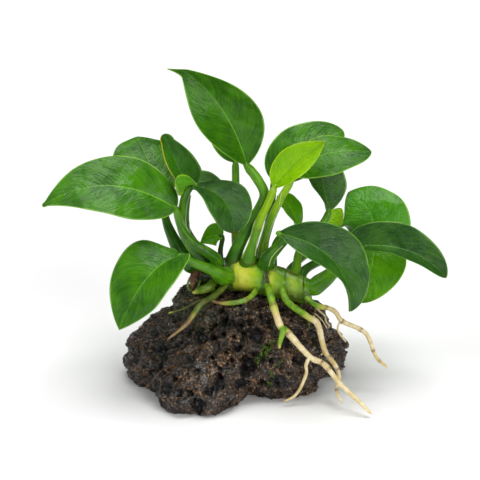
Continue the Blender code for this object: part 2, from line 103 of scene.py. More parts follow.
# Deep holes, darkened inside with painted shade, that are too narrow for the solid: a point on the surface, a
# radius and a depth
HOLES = (
    ((22.7, -11.4, 23.5), 2.4, 3.0),
    ((2.9, -20.0, 12.2), 2.3, 2.7),
    ((4.1, -17.8, 15.9), 2.1, 2.7),
    ((-9.1, -29.2, 9.5), 1.9, 2.7),
    ((-15.9, -21.0, 17.8), 1.8, 2.5),
    ((3.0, -12.9, 23.6), 1.3, 2.1),
    ((0.5, -17.7, 20.1), 1.5, 2.4),
    ((-5.5, -25.1, 12.5), 2.0, 2.7),
    ((-20.0, -28.9, 8.6), 1.8, 2.4),
    ((-25.6, -21.5, 12.4), 1.3, 2.1),
    ((-33.4, -10.0, 7.8), 1.5, 2.2),
    ((-30.0, -3.7, 19.4), 1.8, 2.1),
    ((-21.5, -25.4, 12.4), 1.4, 2.2),
    ((-1.6, -10.9, 27.1), 1.7, 2.1),
    ((9.5, -18.5, 16.9), 1.5, 2.4),
    ((12.4, -19.7, 15.6), 1.4, 2.2),
    ((14.7, -18.9, 9.2), 1.7, 2.4),
    ((11.0, -19.0, 7.0), 1.3, 2.1),
    ((18.7, -20.0, 11.9), 1.3, 2.1),
    ((29.0, -13.0, 6.6), 1.5, 2.2),
    ((36.6, 1.1, 11.2), 1.4, 2.1),
    ((34.1, 2.4, 14.6), 1.3, 2.1),
    ((-12.5, -10.7, 24.4), 1.4, 2.2),
    ((-24.8, -12.0, 17.3), 1.4, 2.1),
    ((-1.9, -25.8, 2.8), 1.7, 2.1),
    ((-12.9, -29.0, 1.8), 1.4, 2.0),
)
HOLLOW_RIMS = (0.55, 1.5)  # how far the rims of pits, holes and pores wander, and over what spacing
HOLLOW_SEED = 2
PIT_STEEPNESS = 1.7  # steeper walls than in the solid, with the same depth
PORES = 1600
PORE_SEED = 11
PORE_RADII = (0.5, 1.6)
PORE_RARITY = 2.5  # how much rarer the wide pores are than the narrow ones
PORE_DEPTH = 1.5  # share of a pore's radius
PORE_ROUNDNESS = 0.7
# how far a pore is darkened inside: painted shade
PORE_SHADE = 0.9
KEPT_UNDER = (0.7, 0.6)  # share of a hollow's depth that stays where a hole or a pore is sunk into it

# Creeping stem
RHIZOME = ((-15, 6, 39), (-9, 5.5, 40), (2, 3, 41), (12, 0, 40), (21, -2, 38), (27, -3.5, 36))
RHIZOME_RADII = (3.0, 4.6, 4.9, 4.8, 4.2, 3.4)
RHIZOME_RINGS = 240
RHIZOME_SIDES = 80
RHIZOME_END_RINGS = 10  # at each end, drawn in to a round tip

# Leaf scars: where along X each ring lies, how much it leans, its height, and how brown it is
SCARS = (
    (-12.5, 0.5, 0.22, 1.0),
    (-9.0, -0.6, 0.20, 0.9),
    (-5.0, 0.8, 0.20, 0.9),
    (-0.9, 0.4, 0.20, 0.6),
    (1.4, -0.5, 0.08, 0.3),
    (9.3, 1.6, 0.22, 0.9),
    (11.2, -0.4, 0.16, 1.0),
    (14.6, 0.9, 0.06, 0.15),
    (17.6, -0.7, 0.14, 0.6),
    (20.8, 0.6, 0.08, 0.3),
    (23.8, -0.3, 0.18, 0.8),
)
SCAR_WIDTH = 0.32
SCAR_WANDER = (0.6, 2.2)  # how far a ring strays from its plane, and over what spacing
STEM_SAG = 2.4  # how far its underside bulges down on to the stone

BLADE_ROWS = 60
BLADE_COLUMNS = 44
BLADE_ENDS = 0.0006
LOBE_SHARE = 0.12
BLADE_THICKNESS = 0.5
MARGIN_THICKNESS = 0.14
MIDRIB_DEPTH = (1.1, 0.15)  # how far the midrib stands out underneath, at the base and at the tip
MIDRIB_WIDTH = (0.9, 0.3)
UPPER_SIDE = 0.2  # how far the upper side lies over the middle surface
GROOVE_DEPTH = 0.22
GROOVE_WIDTH = 0.5
SIDE_VEINS = 9  # on each half of a blade
VEIN_RISE = 0.05
VEIN_SWEEP = 0.3  # how far the side veins run towards the tip on their way to the margin
FOLD_SOFTNESS = 0.12  # share of the half-width over which the fold is rounded
SLACK_PLACE = 0.1  # share of the length at which a slack half is narrowest, and over which it widens again
WAVY_HALF = 11  # half-width from which the margin's waves have their full height
WAVE_LAG = 0.37  # how far the right margin's waves run ahead of the left one's, in waves
VEINY_HALF = 6  # half-width from which the side veins have their full height
BROWN_DEPTH = 0.9


class Leaf(NamedTuple):
    """One leaf, its blade's midrib running from base through middle to tip."""

    name: str
    base: tuple
    middle: tuple
    tip: tuple
    width: float  # across both halves, before they are folded
    turn: float  # degrees that the face is turned about the line from base to tip
    fold: float  # degrees that each half is lifted
    shape: tuple  # powers of the outline at the base and at the tip, blunter where they are lower
    stalk: tuple  # places along it, from the creeping stem to the blade
    radii: tuple  # of the stalk, foot to blade
    curl: float = 0  # how far the margins bend up, or down below 0, as a share of the half-width
    lobe: float = 0  # how far the base runs back beside the stalk, as a share of the length
    twist: float = 0  # degrees that the face turns further from base to tip
    look: str = "mid"
    browned: float = 0  # how far from the tip the blade has gone brown, in millimetres
    wave: tuple = (0.3, 2.5, 0.0)  # height on a wide blade, number and start of the waves in the margin
    hook: tuple = (0, 0, 0)  # how far the last tenth of the blade is drawn aside
    tone: tuple = (0.4, 0.4)  # of the stalk, foot to blade, from 0 for dark green to 1 for yellow-green
    joints: tuple = ()  # shares of the stalk's length at which it has a brown joint
    rounding: float = 0  # share of the blade's length over which its tip is rounded off
    slack: float = 0  # how much narrower the right half is near the base


LEAVES = (
    Leaf("far_left", (-20.5, -2, 66.2), (-43.4, -4.9, 75.5), (-65.6, -9, 69.4),
         width=24.5, turn=-40, fold=8, shape=(0.73, 1.01), curl=-0.11, lobe=0.03, twist=24,
         look="mid", tone=(0.3, 0.35, 0.5), joints=(0.42,), rounding=0.03,
         stalk=((-6.5, 4.2, 42.2), (-7.5, 0, 47.5), (-14, -2, 53), (-18.5, -2, 58.6), (-20.5, -2, 65.7)),
         radii=(2.3, 1.7, 1.3)),
    Leaf("low_left", (-18.7, -11, 52.6), (-30.4, -17.7, 46.2), (-39.8, -20, 28.5),
         width=27, turn=-29, fold=22, shape=(0.6, 0.91), curl=-0.13, lobe=0.07, slack=0.4, twist=-52,
         look="mid", tone=(0.45, 0.42, 0.55),
         stalk=((-3.0, 2.6, 40.4), (-4.6, -2.0, 41.2), (-7.5, -7, 45.3), (-13.4, -10, 48.8),
                (-18.2, -11, 52.1)),
         radii=(3.8, 3.1, 2.0, 1.5, 1.1)),
    Leaf("upper_left", (-25.8, 12, 66.8), (-32.6, 23.4, 78.2), (-36, 31, 82.7),
         width=24.3, turn=-4, fold=1, shape=(0.51, 0.65), curl=-0.18, twist=-12,
         look="mid", wave=(0.7, 2.0, 0.6), tone=(0.15, 0.3),
         stalk=((-14, 6, 40), (-18.5, 6.5, 45), (-22, 8, 51), (-24.9, 10, 58.2), (-25.8, 12, 65.8)),
         radii=(2.4, 2.8, 2.0, 1.3, 1.2)),
    Leaf("upright", (-16.5, 8, 68.5), (-19.4, 6.6, 76.7), (-25.2, 9, 89.8),
         width=13.1, turn=-39, fold=21, shape=(0.63, 0.75), curl=0.24, twist=-54,
         look="yellow_edged", tone=(0.2, 0.45, 0.6), joints=(0.6,), rounding=0.09,
         stalk=((-12, 6.5, 41), (-14, 10, 45), (-17, 10.5, 50), (-17.8, 9, 59.3), (-16.5, 8, 68)),
         radii=(1.6, 1.4, 1.1)),
    # This stalk turns dark again at its upper end: partly its own dark green, partly painted shade under the
    # leaves over it
    Leaf("middle", (-14.9, -1.8, 74.5), (-4.5, -9.3, 72), (-0.5, -12, 60.9),
         width=19.4, turn=11, fold=19, shape=(0.9, 0.66), curl=-0.11, twist=18,
         look="dark", browned=0.8, tone=(0.1, 0.35, 0.6, 0.5, 0.1),
         stalk=((-9.5, 4.5, 41), (-12, 4.5, 45.5), (-16.1, 4, 51), (-18.9, 2.6, 58), (-18.5, 0.5, 65.4),
                (-16.9, -1.6, 72), (-14.9, -1.8, 74.5)),
         radii=(2.2, 2.2, 1.8, 1.5, 1.3)),
    Leaf("behind_middle", (-17, 14.5, 71.4), (-10.5, 13, 70.9), (-3.5, 12, 67.9),
         width=9, turn=40, fold=4, shape=(0.5, 0.7),
         look="dark", tone=(0.15, 0.3),
         stalk=((-7, 6.5, 41), (-9, 10.8, 44), (-15.2, 14.2, 48.5), (-18.6, 14.6, 56.5), (-17.9, 14.7, 65.5),
                (-17, 14.5, 70.9)),
         radii=(1.5, 1.2, 1)),
    Leaf("top", (3.9, 4, 80.1), (-5, 1.2, 101.2), (-19, 1, 115.2),
         width=22.5, turn=-88, fold=25, shape=(0.82, 1.12), curl=0.17, twist=-53,
         look="mid", hook=(-4, 0, -0.6), tone=(0.15, 0.3, 0.45, 0.6), joints=(0.1,),
         stalk=((-1.5, 3, 42), (-0.5, 3, 47), (3.5, 4, 55.5), (8, 4.5, 63.5), (10, 4, 69.5), (7.5, 4, 75.1),
                (4.4, 4, 79.1)),
         radii=(2.4, 1.9, 1.6)),
    Leaf("behind_top", (0, 14, 78), (-1.5, 20, 88.5), (-5, 28, 96),
         width=18, turn=0, fold=8, shape=(0.5, 0.8),
         look="mid", tone=(0.5, 0.85, 0.6, 0.3),
         stalk=((1, 4.5, 42), (0.5, 8.5, 46.5), (0, 10.5, 53), (0, 12, 65), (0, 14, 77)),
         radii=(1.9, 1.5, 1.3)),
    Leaf("upper_right", (13.5, 10, 72.3), (23.6, 17.7, 81.1), (38.8, 28, 85.7),
         width=20.1, turn=34, fold=8, shape=(0.54, 0.6), curl=0.02, twist=2,
         look="mid", tone=(0.3, 0.4),
         stalk=((7.8, 4.4, 42), (9.3, 8.8, 47.9), (12, 10.5, 58.4), (13.5, 10, 71.3)),
         radii=(1.7, 1.4, 1.2)),
    Leaf("level_right", (18, 6, 76.6), (31.1, 4.9, 83.7), (47.1, 7, 84),
         width=18.3, turn=33, fold=-4, shape=(0.71, 0.61), curl=-0.01, twist=-22,
         look="mid", tone=(0.6, 0.8, 0.85),
         stalk=((9.5, 2.4, 42.4), (10, 2.5, 51.5), (12.4, 3, 60.3), (15.9, 4.6, 68), (18.9, 5.6, 73.2),
                (17.8, 6, 76)),
         radii=(1.9, 1.4, 1.3)),
    Leaf("young", (13.2, 0, 73.2), (21.5, 0, 82.8), (30.4, -2, 90.3),
         width=11.8, turn=67, fold=19, shape=(0.62, 0.86), curl=0.24, twist=34,
         look="lime", tone=(0.4, 0.5, 0.95, 0.95), joints=(0.145, 0.5),
         stalk=((4, 2.8, 43.4), (5, -0.5, 49), (6.5, -1, 54.5), (8.5, -1, 62), (11.1, 0, 67.3),
                (13.2, 0, 72.2)),
         radii=(3.3, 1.6, 1.4, 1.3)),
    Leaf("right_dark", (33.4, 13, 60.2), (31.4, 21, 68.2), (30.5, 22, 76.6),
         width=17.8, turn=18, fold=17, shape=(0.87, 0.87), curl=0.05, twist=-20,
         look="dark", tone=(0.4, 0.8, 0.6, 0.5), joints=(0.75,),
         stalk=((20, -1.5, 39), (21.5, 0.5, 43.5), (22.5, 4, 48), (28, 9, 53.5), (31.7, 12, 56.9),
                (32.9, 13, 59.7)),
         radii=(1.6, 1.3, 1.3)),
    Leaf("small_middle", (22.2, 7, 56.9), (18.6, 9.8, 63.5), (14.7, 12, 66.1),
         width=11.7, turn=1, fold=11, shape=(0.5, 0.71), curl=-0.02, twist=-18,
         look="painted_backlight", tone=(0.4, 0.6),
         stalk=((13.3, 3, 42), (13.6, 5.7, 48.5), (15.5, 6.5, 52.5), (18.9, 7, 54.9), (22.2, 7, 56.4)),
         radii=(1.6, 1.2, 1)),
    Leaf("round_right", (47.8, 18, 44.4), (49.5, 20.2, 55.7), (41.3, 29, 62),
         width=26.9, turn=-32, fold=0, shape=(0.43, 0.64), curl=-0.12, lobe=0.03, twist=30,
         look="painted_backlight_mid", browned=0.6, wave=(0.6, 3.0, 0.3), tone=(0.4, 0.5), joints=(0.6,),
         stalk=((22.5, -1.5, 38), (24.5, 4, 41), (32, 11.5, 42), (42, 17.5, 40.6), (47.1, 18.8, 41.3),
                (47.8, 18.4, 43.5)),
         radii=(1.7, 1.4, 1.1)),
    Leaf("far_right", (38.9, 0, 50.5), (57.8, -3, 51.8), (73.7, -4, 41.4),
         width=18.4, turn=35, fold=39, shape=(0.41, 0.66), curl=-0.08, twist=25,
         look="dark", browned=0.9, tone=(0.45, 0.55), joints=(0.75,),
         stalk=((25, -3.5, 36), (29.5, -4, 39), (34, -3.5, 43), (37.2, -1.5, 47.7), (38.4, 0, 50)),
         radii=(3.1, 2.6, 1.8, 1.3)),
    Leaf("hanging_right", (49.4, 7, 49.9), (48, 2.4, 42.1), (44.9, 2, 29.4),
         width=23.7, turn=-30, fold=3, shape=(0.36, 0.72), curl=0.02, twist=14,
         look="painted_backlight", tone=(0.4, 0.5),
         stalk=((25.5, -2.5, 36.5), (28.5, 1, 38.5), (35, 7.5, 40.2), (43, 11.5, 45), (47.7, 10.5, 49),
                (49.4, 8, 50.4)),
         radii=(1.6, 1.3, 1.2)),
    Leaf("front_right", (14.6, -12, 60.9), (33.3, -14.4, 51.7), (39, -19, 34.9),
         width=21.5, turn=24, fold=24, shape=(0.78, 0.66), curl=0.11, twist=-50,
         look="dark", browned=0.5, tone=(0.35, 0.3, 0.5),
         stalk=((10.4, 1.4, 43.4), (11.2, -2.6, 48), (13.8, -5.4, 52.4), (16.6, -7.6, 56.2), (17.4, -9.4, 59),
                (15.4, -11, 60)),
         radii=(2.8, 2.7, 2.2, 1.6, 1.2, 1.0)),
    Leaf("small_right", (34.5, 28.5, 46), (36.5, 30.5, 50.5), (39.3, 33, 54.6),
         width=10, turn=0, fold=8, shape=(0.5, 0.7),
         look="lime", tone=(0.5, 0.5),
         stalk=((18, 0.5, 39), (20, 5.5, 41.5), (25, 14, 42.7), (31, 23, 43.6), (34.5, 28.5, 45.1)),
         radii=(1.5, 1.2, 1)),
    Leaf("small_left", (-4.7, 6, 52.9), (-8.9, 5.6, 53.5), (-12.4, 2, 52.1),
         width=9.6, turn=-66, fold=32, shape=(0.5, 0.8), curl=-0.04, twist=-27,
         look="painted_backlight", tone=(0.0, 0.1), joints=(0.15, 0.5, 0.8),
         stalk=((-5, 4.5, 42), (-5.5, 7, 47), (-4.7, 6.5, 52.4)),
         radii=(1.2, 0.9, 0.8)),
)
STALK_SIDES = 24
STALK_RINGS = 64
STEM_PLACES = 60  # places along the creeping stem among which a foot finds the nearest
BLADE_START = (0.06, 0.02)  # shares of the blade's length that show its midrib's way and its face there
STALK_RUNS_ON = 1.6  # under the blade's base
STALK_UNDER = (0.35, 0.1)  # how far its end lies under the blade's base, and how much deeper it runs on
STALK_END = (5, 0.45)  # rings over which its end narrows, and the share of its thickness that is left
STALK_JOINT = (0.3, 0.08)  # half-length of a brown joint, and how much it swells
SHEATH = (0.3, 0.28)  # share of the stalk that is sheathed, and how much broader that is at the foot
STALK_GROOVE = (0.10, 0.5)  # depth as a share of the radius, and width as an angle
STALK_STARTS_IN = 0.45  # share of the way to the creeping stem's middle by which the foot is drawn into it
FOOT_NARROWS = (0.45, 3.0)  # the foot's share of the stalk's thickness, and the length over which it widens
HOOK_START = 0.93  # share of the blade's length at which the drawn-out tip begins

# The left lobe at the base of the middle leaf is rolled up over its stalk: rows of points, from the top down
ROLLED_LOBE = (
    ((-20.8, -1.2, 76.4), (-19.8, -0.4, 77.7), (-17.9, 0.2, 77.9), (-15.8, -0.2, 77.2), (-13.4, -1.4, 75.2)),
    ((-20.9, -2.7, 75.2), (-19.5, -3.2, 76.2), (-17.5, -3.4, 76.6), (-15.4, -3.0, 76.3), (-13.2, -2.3, 74.9)),
    ((-20.4, -3.0, 73.4), (-18.9, -3.5, 73.9), (-17.3, -3.6, 75.0), (-15.4, -3.2, 75.5), (-13.2, -2.5, 74.6)),
    ((-19.7, -2.0, 71.0), (-18.4, -2.4, 71.4), (-17.3, -2.6, 73.8), (-15.4, -2.6, 75.0), (-13.3, -2.4, 74.4)),
)


class Root(NamedTuple):
    """One root, from inside the creeping stem to its tip."""

    name: str
    route: tuple
    radii: tuple
    green: float  # share of its length that is green
    nodes: tuple = ()  # shares of its length at which it has a brown joint
    browned: float = 0  # share of its length, from the tip, that has gone brown
    olive: float = 0  # how dull its green is
    green_again: tuple = ()  # shares of its length at which it is green once more


ROOTS = (
    Root("root_left", ((-2, 2, 38), (-7.5, -5.5, 35.2), (-12, -10, 34), (-16, -14, 29.5), (-18.5, -16, 27.5),
                       (-23.5, -19, 24.5)),
         radii=(1.2, 1.15, 1.0, 0.8, 0.3), green=0.66, nodes=(0.45,), browned=0.42, olive=0.8),
    Root("root_left_thin", ((-11.5, -9, 34.8), (-13.5, -9, 34.5), (-17.5, -10, 32.5), (-23.5, -10, 30.5)),
         radii=(0.4, 0.4, 0.3), green=1.0, olive=1.0),
    Root("root_left_short", ((-7, 2, 38.5), (-9.5, -1.4, 36.8), (-12, -2.4, 36.1), (-15.3, -3, 35.2)),
         radii=(1.2, 1.75, 1.5, 0.5), green=1.0, olive=0.5),
    Root("root_middle", ((8, 0, 38), (6.6, -4.5, 36), (3.9, -8.2, 34.9), (0.4, -9.8, 34.5), (-4.5, -10, 34.2),
                         (-8.5, -9, 34.7)),
         radii=(1.1, 0.95, 0.85, 0.4), green=0.8, nodes=(0.45, 0.62), browned=0.3, olive=0.15),
    Root("root_long_front", ((11, -1, 39), (12, -9, 37), (14, -15, 32), (15.5, -17, 28.5), (18, -18, 26.5),
                             (25.5, -20, 18.5), (30.5, -21, 16), (36, -24, 10), (42.5, -28, 5),
                             (46.5, -30, 1.5)),
         radii=(1.45, 1.3, 1.2, 1.05, 0.95, 0.85, 0.6), green=0.22, nodes=(0.2, 0.375, 0.62, 0.67),
         green_again=(0.345,)),
    Root("root_front_stub", ((16.2, -18.8, 28.3), (15.9, -20, 26.6), (15.2, -20.5, 24), (15, -21, 22)),
         radii=(1.1, 0.95, 0.8, 0.4), green=1.0),
    Root("root_front_side", ((25.4, -20.8, 18.6), (24.2, -21.8, 16), (24.5, -21, 13), (23.5, -21, 9.5),
                             (22, -21, 6), (20, -21, 3.5), (16.5, -22, 2)),
         radii=(0.6, 0.6, 0.55, 0.4), green=0.0, browned=0.15),
    Root("root_long_right", ((15.5, -2, 39), (18, -9, 34.5), (25, -12, 30), (28.5, -13, 27.5),
                             (31, -15, 18.5), (34.5, -17, 14), (36, -19, 10.5), (35, -22, 6.5),
                             (37, -24, 2.5)),
         radii=(1.25, 1.2, 1.1, 0.95, 0.7, 0.5), green=0.34, nodes=(0.66, 0.76, 0.9)),
    Root("root_far_right", ((22, -3, 37), (27.5, -8, 33), (32.5, -8, 31.5), (35, -8, 30), (37.5, -8, 26.5),
                            (43.5, -9, 24), (46.5, -10, 21.5), (49.5, -10.5, 14), (53.5, -12, 10.5)),
         radii=(1.1, 0.9, 0.85, 0.75, 0.5), green=0.25, nodes=(0.28, 0.46, 0.62, 0.82, 0.92)),
    Root("root_right_side", ((37.2, -8, 26.8), (36.2, -8, 25.2), (36, -8, 23), (37.5, -8, 20.5),
                             (39, -8, 18.5)),
         radii=(0.45, 0.4, 0.4, 0.25), green=0.0),
    Root("root_right_thin", ((25, -2, 33), (29.5, 1, 27), (31.5, 2, 24), (33.5, 3, 19)),
         radii=(0.4, 0.4, 0.3), green=0.0),
)
ROOT_SIDES = 20
ROOT_RINGS = 130
ROOT_JOINT = (0.5, 0.1)  # half-length of a brown joint, and how much it swells
GREEN_AGAIN = 1.4  # half-length of a stretch that is green once more
GREEN_FADES = 8  # length over which the green gives way to cream
BROWN_FADES = 4  # length over which the browned end begins
BROWN_END = 0.85  # how brown it is at the tip
ROOT_BEDDED = 0.9  # share of its radius at which a root's middle lies over the stone
DEEPEST_SUNK = 4.0  # a root that lies deeper in the stone than this stays there
SLOPE_PASSES = 60  # how far the slope under a root is evened out along it
LIFT_PASSES = 20

# Thin fibres that are too fine for solids of their own: points, radius, and how green
FIBRES = (
    (((28.0, -3.5, 27.5), (28.7, -1.0, 26.0), (30.9, -0.8, 23.6), (32.8, 0.2, 20.0)), 0.22, 0.0),
    (((27.6, -4.2, 27.2), (28.2, -3.4, 25.4), (29.9, -2.6, 22.6)), 0.2, 0.0),
    (((25.4, -11.9, 29.2), (25.5, -7.5, 26.0), (25.9, -6.4, 24.2), (25.4, -6.6, 22.4)), 0.32, 1.0),
    (((31.0, -15.2, 19.0), (30.4, -14.6, 17.4), (29.8, -14.4, 16.4)), 0.3, 0.0),
    (((-16.2, 1.2, 39.4), (-16.9, 0.6, 37.6), (-16.7, 0.4, 35.4), (-15.2, 0.0, 34.8)), 0.45, 1.0),
    (((-12.6, 1.0, 38.4), (-13.5, -1.0, 36.4), (-15.0, -2.6, 34.9)), 0.35, 1.0),
)
FIBRE_SIDES = 8
FIBRE_RINGS = 26
FIBRE_OLIVE = 0.6

OLD_STUB = ((-13, 3.5, 40.5), (-15.0, 1, 40), (-15.3, 0.3, 37.6), (-15.5, 0.2, 35.2))
OLD_STUB_RADII = (1.1, 1.3, 0.9, 0.6)
OLD_STUB_SIDES = 20
OLD_STUB_RINGS = 40

# Streaks of moss on the front of the stone: the ends of each, how many strands and how far they stray
MOSS_STREAKS = (
    ((7.1, -17.7, 14.9), (10.0, -17.6, 19.2), 70, 0.5),
    ((10.4, -17.2, 19.6), (13.7, -14.8, 22.8), 80, 0.55),
    ((14.0, -19.3, 14.8), (15.7, -18.8, 16.2), 22, 0.4),
    ((11.8, -19.9, 13.6), (12.7, -20.2, 11.0), 34, 0.4),
    ((9.1, -16.4, 21.2), (10.2, -17.3, 19.4), 26, 0.35),
    ((11.0, -19.4, 8.4), (13.0, -19.0, 7.2), 18, 0.5),
)
MOSS_SEED = 23
MOSS_STRAND = (0.5, 1.5, 0.11)  # shortest, longest and thickness
MOSS_SPREAD = 0.7  # how far the strands lean, and how much of the stone's own slope they keep
MOSS_ROOTED = 0.15  # how deep a strand stands in the stone
MOSS_TOP = (1500, -26.0, -9.0, 24.5, 12)  # strands on the upper left shoulder, ends in X, lowest Z, last Y
MOSS_TOP_STRAND = (0.3, 0.8, 0.09)
MOSS_TOP_SPREAD = 0.5
MOSS_BARE = (3.5, -0.05)  # spacing of the shoulder's bare patches, and the noise below which it is bare

# Pale edges of the sheaths, each on the stalk of the leaf that it names
SHEATH_EDGES = (
    ("young", ((1.5, -1.0, 47.6), (2.7, -1.5, 50.8), (3.9, -1.5, 54.5), (5.2, -1.5, 58.6),
               (5.7, -1.5, 62.3))),
    ("young", ((8.3, -3.0, 48.4), (8.2, -3.0, 51.4), (8.1, -3.0, 54.0), (9.5, -2.0, 58.1),
               (11.6, -1.0, 63.6))),
    ("level_right", ((11.0, 1.0, 53.0), (12.5, 1.5, 58.5), (14.6, 3.5, 65.0), (16.5, 4.5, 70.0))),
    ("front_right", ((11.5, -4.2, 46.0), (12.4, -6.6, 49.6), (14.2, -8.6, 52.4), (16.2, -10.0, 54.6))),
)
SHEATH_EDGE = (0.17, 8, 0.08, 6)  # radius, sides, how clear of the stalk its middle lies, smoothing passes
SHEATH_EDGE_TONE = 1.5
EDGE_RINGS = 60

# An empty green husk on top of the stone, and the brown rims of old sheaths round the creeping stem
GREEN_HUSK = (
    ((-14.9, 1.4, 34.9), (-12.9, 1.8, 35.9), (-10.0, 2.0, 36.8), (-7.4, 2.2, 36.2)),
    ((-14.8, 0.6, 34.6), (-12.9, 0.0, 35.3), (-10.2, -0.2, 35.7), (-7.2, 0.4, 35.4)),
    ((-14.6, 1.0, 34.1), (-13.2, 0.0, 33.8), (-11.0, 0.2, 33.8), (-7.0, 1.0, 34.2)),
)
BROWN_RIMS = (
    ((14.9, -0.5, 44.6), (17.0, -1.4, 43.6), (19.4, -2.6, 42.8), (22.0, -3.4, 42.0)),
    ((11.2, -3.8, 42.6), (10.9, -4.6, 40.6), (11.3, -4.4, 38.4)),
)
BROWN_RIM = (0.17, 10, 0.1, 4)  # as for the sheath edges
SHEET_STEPS = 6  # between one given point of a rolled lobe or husk and the next
LOBE_THICKNESS = 0.35
HUSK_THICKNESS = 0.3
HUSK_TONE = 0.55


# Materials


class Tree:
    """Builds one material's nodes. Every method gives back an output that another can take."""

    def __init__(self, name):
        self.material = bpy.data.materials.new(name)
        self.material.use_nodes = True
        self.nodes = self.material.node_tree.nodes
        self.links = self.material.node_tree.links
        self.surface = self.nodes["Principled BSDF"]

    def feed(self, socket, value):
        if isinstance(value, bpy.types.NodeSocket):
            self.links.new(value, socket)
        elif isinstance(value, tuple) and len(value) == 3 and socket.type == "RGBA":
            socket.default_value = (*value, 1)
        else:
            socket.default_value = value

    def node(self, kind, **settings):
        made = self.nodes.new(kind)
        for setting, value in settings.items():
            setattr(made, setting, value)
        return made

    def attribute(self, name):
        return self.node("ShaderNodeAttribute", attribute_name=name).outputs["Fac"]

    def place(self):
        """The place on the object in millimetres."""
        scaled = self.node("ShaderNodeVectorMath", operation="SCALE")
        self.feed(scaled.inputs[0], self.node("ShaderNodeTexCoord").outputs["Object"])
        scaled.inputs["Scale"].default_value = 1 / MM
        return scaled.outputs[0]

    def axes(self, vector):
        made = self.node("ShaderNodeSeparateXYZ")
        self.feed(made.inputs[0], vector)
        return made.outputs

    def math(self, operation, first, second):
        made = self.node("ShaderNodeMath", operation=operation)
        for socket, value in zip(made.inputs, (first, second)):
            self.feed(socket, value)
        return made.outputs[0]

    def times(self, first, second):
        return self.math("MULTIPLY", first, second)

    def plus(self, first, second):
        return self.math("ADD", first, second)

    def combined(self, x, y, z=0.0):
        made = self.node("ShaderNodeCombineXYZ")
        for socket, value in zip(made.inputs, (x, y, z)):
            self.feed(socket, value)
        return made.outputs[0]

    def noise(self, where, spacing, detail=2.0, harsh=0.5, bent=0.0):
        made = self.node("ShaderNodeTexNoise")
        self.feed(made.inputs["Vector"], where)
        made.inputs["Scale"].default_value = 1 / spacing
        made.inputs["Detail"].default_value = detail
        made.inputs["Roughness"].default_value = harsh
        made.inputs["Distortion"].default_value = bent
        return made.outputs["Fac"]

    def grain(self, one, fine, other, coarse, detail=2.0, harsh=0.5, bent=0.0):
        """Noise drawn out over two values: so many grains in one unit of the first and of the other."""
        where = self.combined(self.times(one, fine), self.times(other, coarse))
        return self.noise(where, 1.0, detail, harsh, bent)

    def cells(self, where, spacing):
        made = self.node("ShaderNodeTexVoronoi")
        self.feed(made.inputs["Vector"], where)
        made.inputs["Scale"].default_value = 1 / spacing
        return made.outputs["Distance"]

    def between(self, value, low, high, to_low=0.0, to_high=1.0):
        """A soft step from to_low at low to to_high at high."""
        made = self.node("ShaderNodeMapRange", interpolation_type="SMOOTHSTEP")
        for socket, given in zip(made.inputs, (value, low, high, to_low, to_high)):
            self.feed(socket, given)
        return made.outputs[0]

    def mix(self, factor, first, second):
        made = self.node("ShaderNodeMix", data_type="RGBA")
        self.feed(made.inputs["Factor"], factor)
        self.feed(made.inputs[6], first)
        self.feed(made.inputs[7], second)
        return made.outputs[2]

    def ramp(self, factor, *stops):
        made = self.node("ShaderNodeValToRGB")
        self.feed(made.inputs["Fac"], factor)
        elements = made.color_ramp.elements
        while len(elements) < len(stops):
            elements.new(1.0)
        for element, (at, colour) in zip(elements, stops):
            element.position = at
            element.color = (*colour, 1)
        return made.outputs["Color"]

    def bump(self, height, depth, onto=None):
        """Relief of the given depth in millimetres where height runs from 0 to 1."""
        made = self.node("ShaderNodeBump")
        made.inputs["Distance"].default_value = depth * MM
        self.feed(made.inputs["Height"], height)
        if onto is not None:
            self.feed(made.inputs["Normal"], onto)
        return made.outputs["Normal"]

    def done(self, colour, roughness, normal=None, **plain):
        self.feed(self.surface.inputs["Base Color"], colour)
        self.feed(self.surface.inputs["Roughness"], roughness)
        if normal is not None:
            self.feed(self.surface.inputs["Normal"], normal)
        for name, value in plain.items():
            self.surface.inputs[name.replace("_", " ")].default_value = value
        return self.material


class Look(NamedTuple):
    """The colours of one kind of leaf blade."""

    deep: tuple
    fresh: tuple
    midrib: tuple
    margin: tuple
    under: tuple
    gloss: float = 0.24  # strength of its highlights


LOOKS = {
    "dark": Look((0.009, 0.056, 0.006), (0.044, 0.145, 0.012), (0.08, 0.26, 0.015), (0.10, 0.30, 0.02),
                 (0.07, 0.20, 0.03)),
    "mid": Look((0.014, 0.085, 0.002), (0.064, 0.240, 0.003), (0.17, 0.44, 0.02), (0.22, 0.50, 0.03),
                (0.11, 0.30, 0.02)),
    "yellow_edged": Look((0.018, 0.090, 0.006), (0.048, 0.200, 0.006), (0.10, 0.32, 0.02),
                         (0.14, 0.38, 0.02), (0.10, 0.28, 0.03)),
    # The next two looks are paler and yellower than the blades' own green: partly their own fresher green,
    # partly painted light shining through the thin blades from behind
    "painted_backlight_mid": Look((0.034, 0.185, 0.004), (0.080, 0.320, 0.006), (0.15, 0.44, 0.02),
                       (0.22, 0.50, 0.02), (0.12, 0.34, 0.03)),
    "painted_backlight": Look((0.050, 0.220, 0.001), (0.120, 0.390, 0.002), (0.20, 0.52, 0.01), (0.30, 0.58, 0.015),
                   (0.20, 0.48, 0.02)),
    "lime": Look((0.170, 0.440, 0.001), (0.330, 0.640, 0.002), (0.14, 0.44, 0.002), (0.50, 0.75, 0.01),
                 (0.30, 0.60, 0.01), 0.2),
}
YELLOW_EDGE = (0.60, 0.50, 0.02)
BROWN_TIP = (0.12, 0.04, 0.008)
PALE_EDGE = (0.42, 0.58, 0.20)


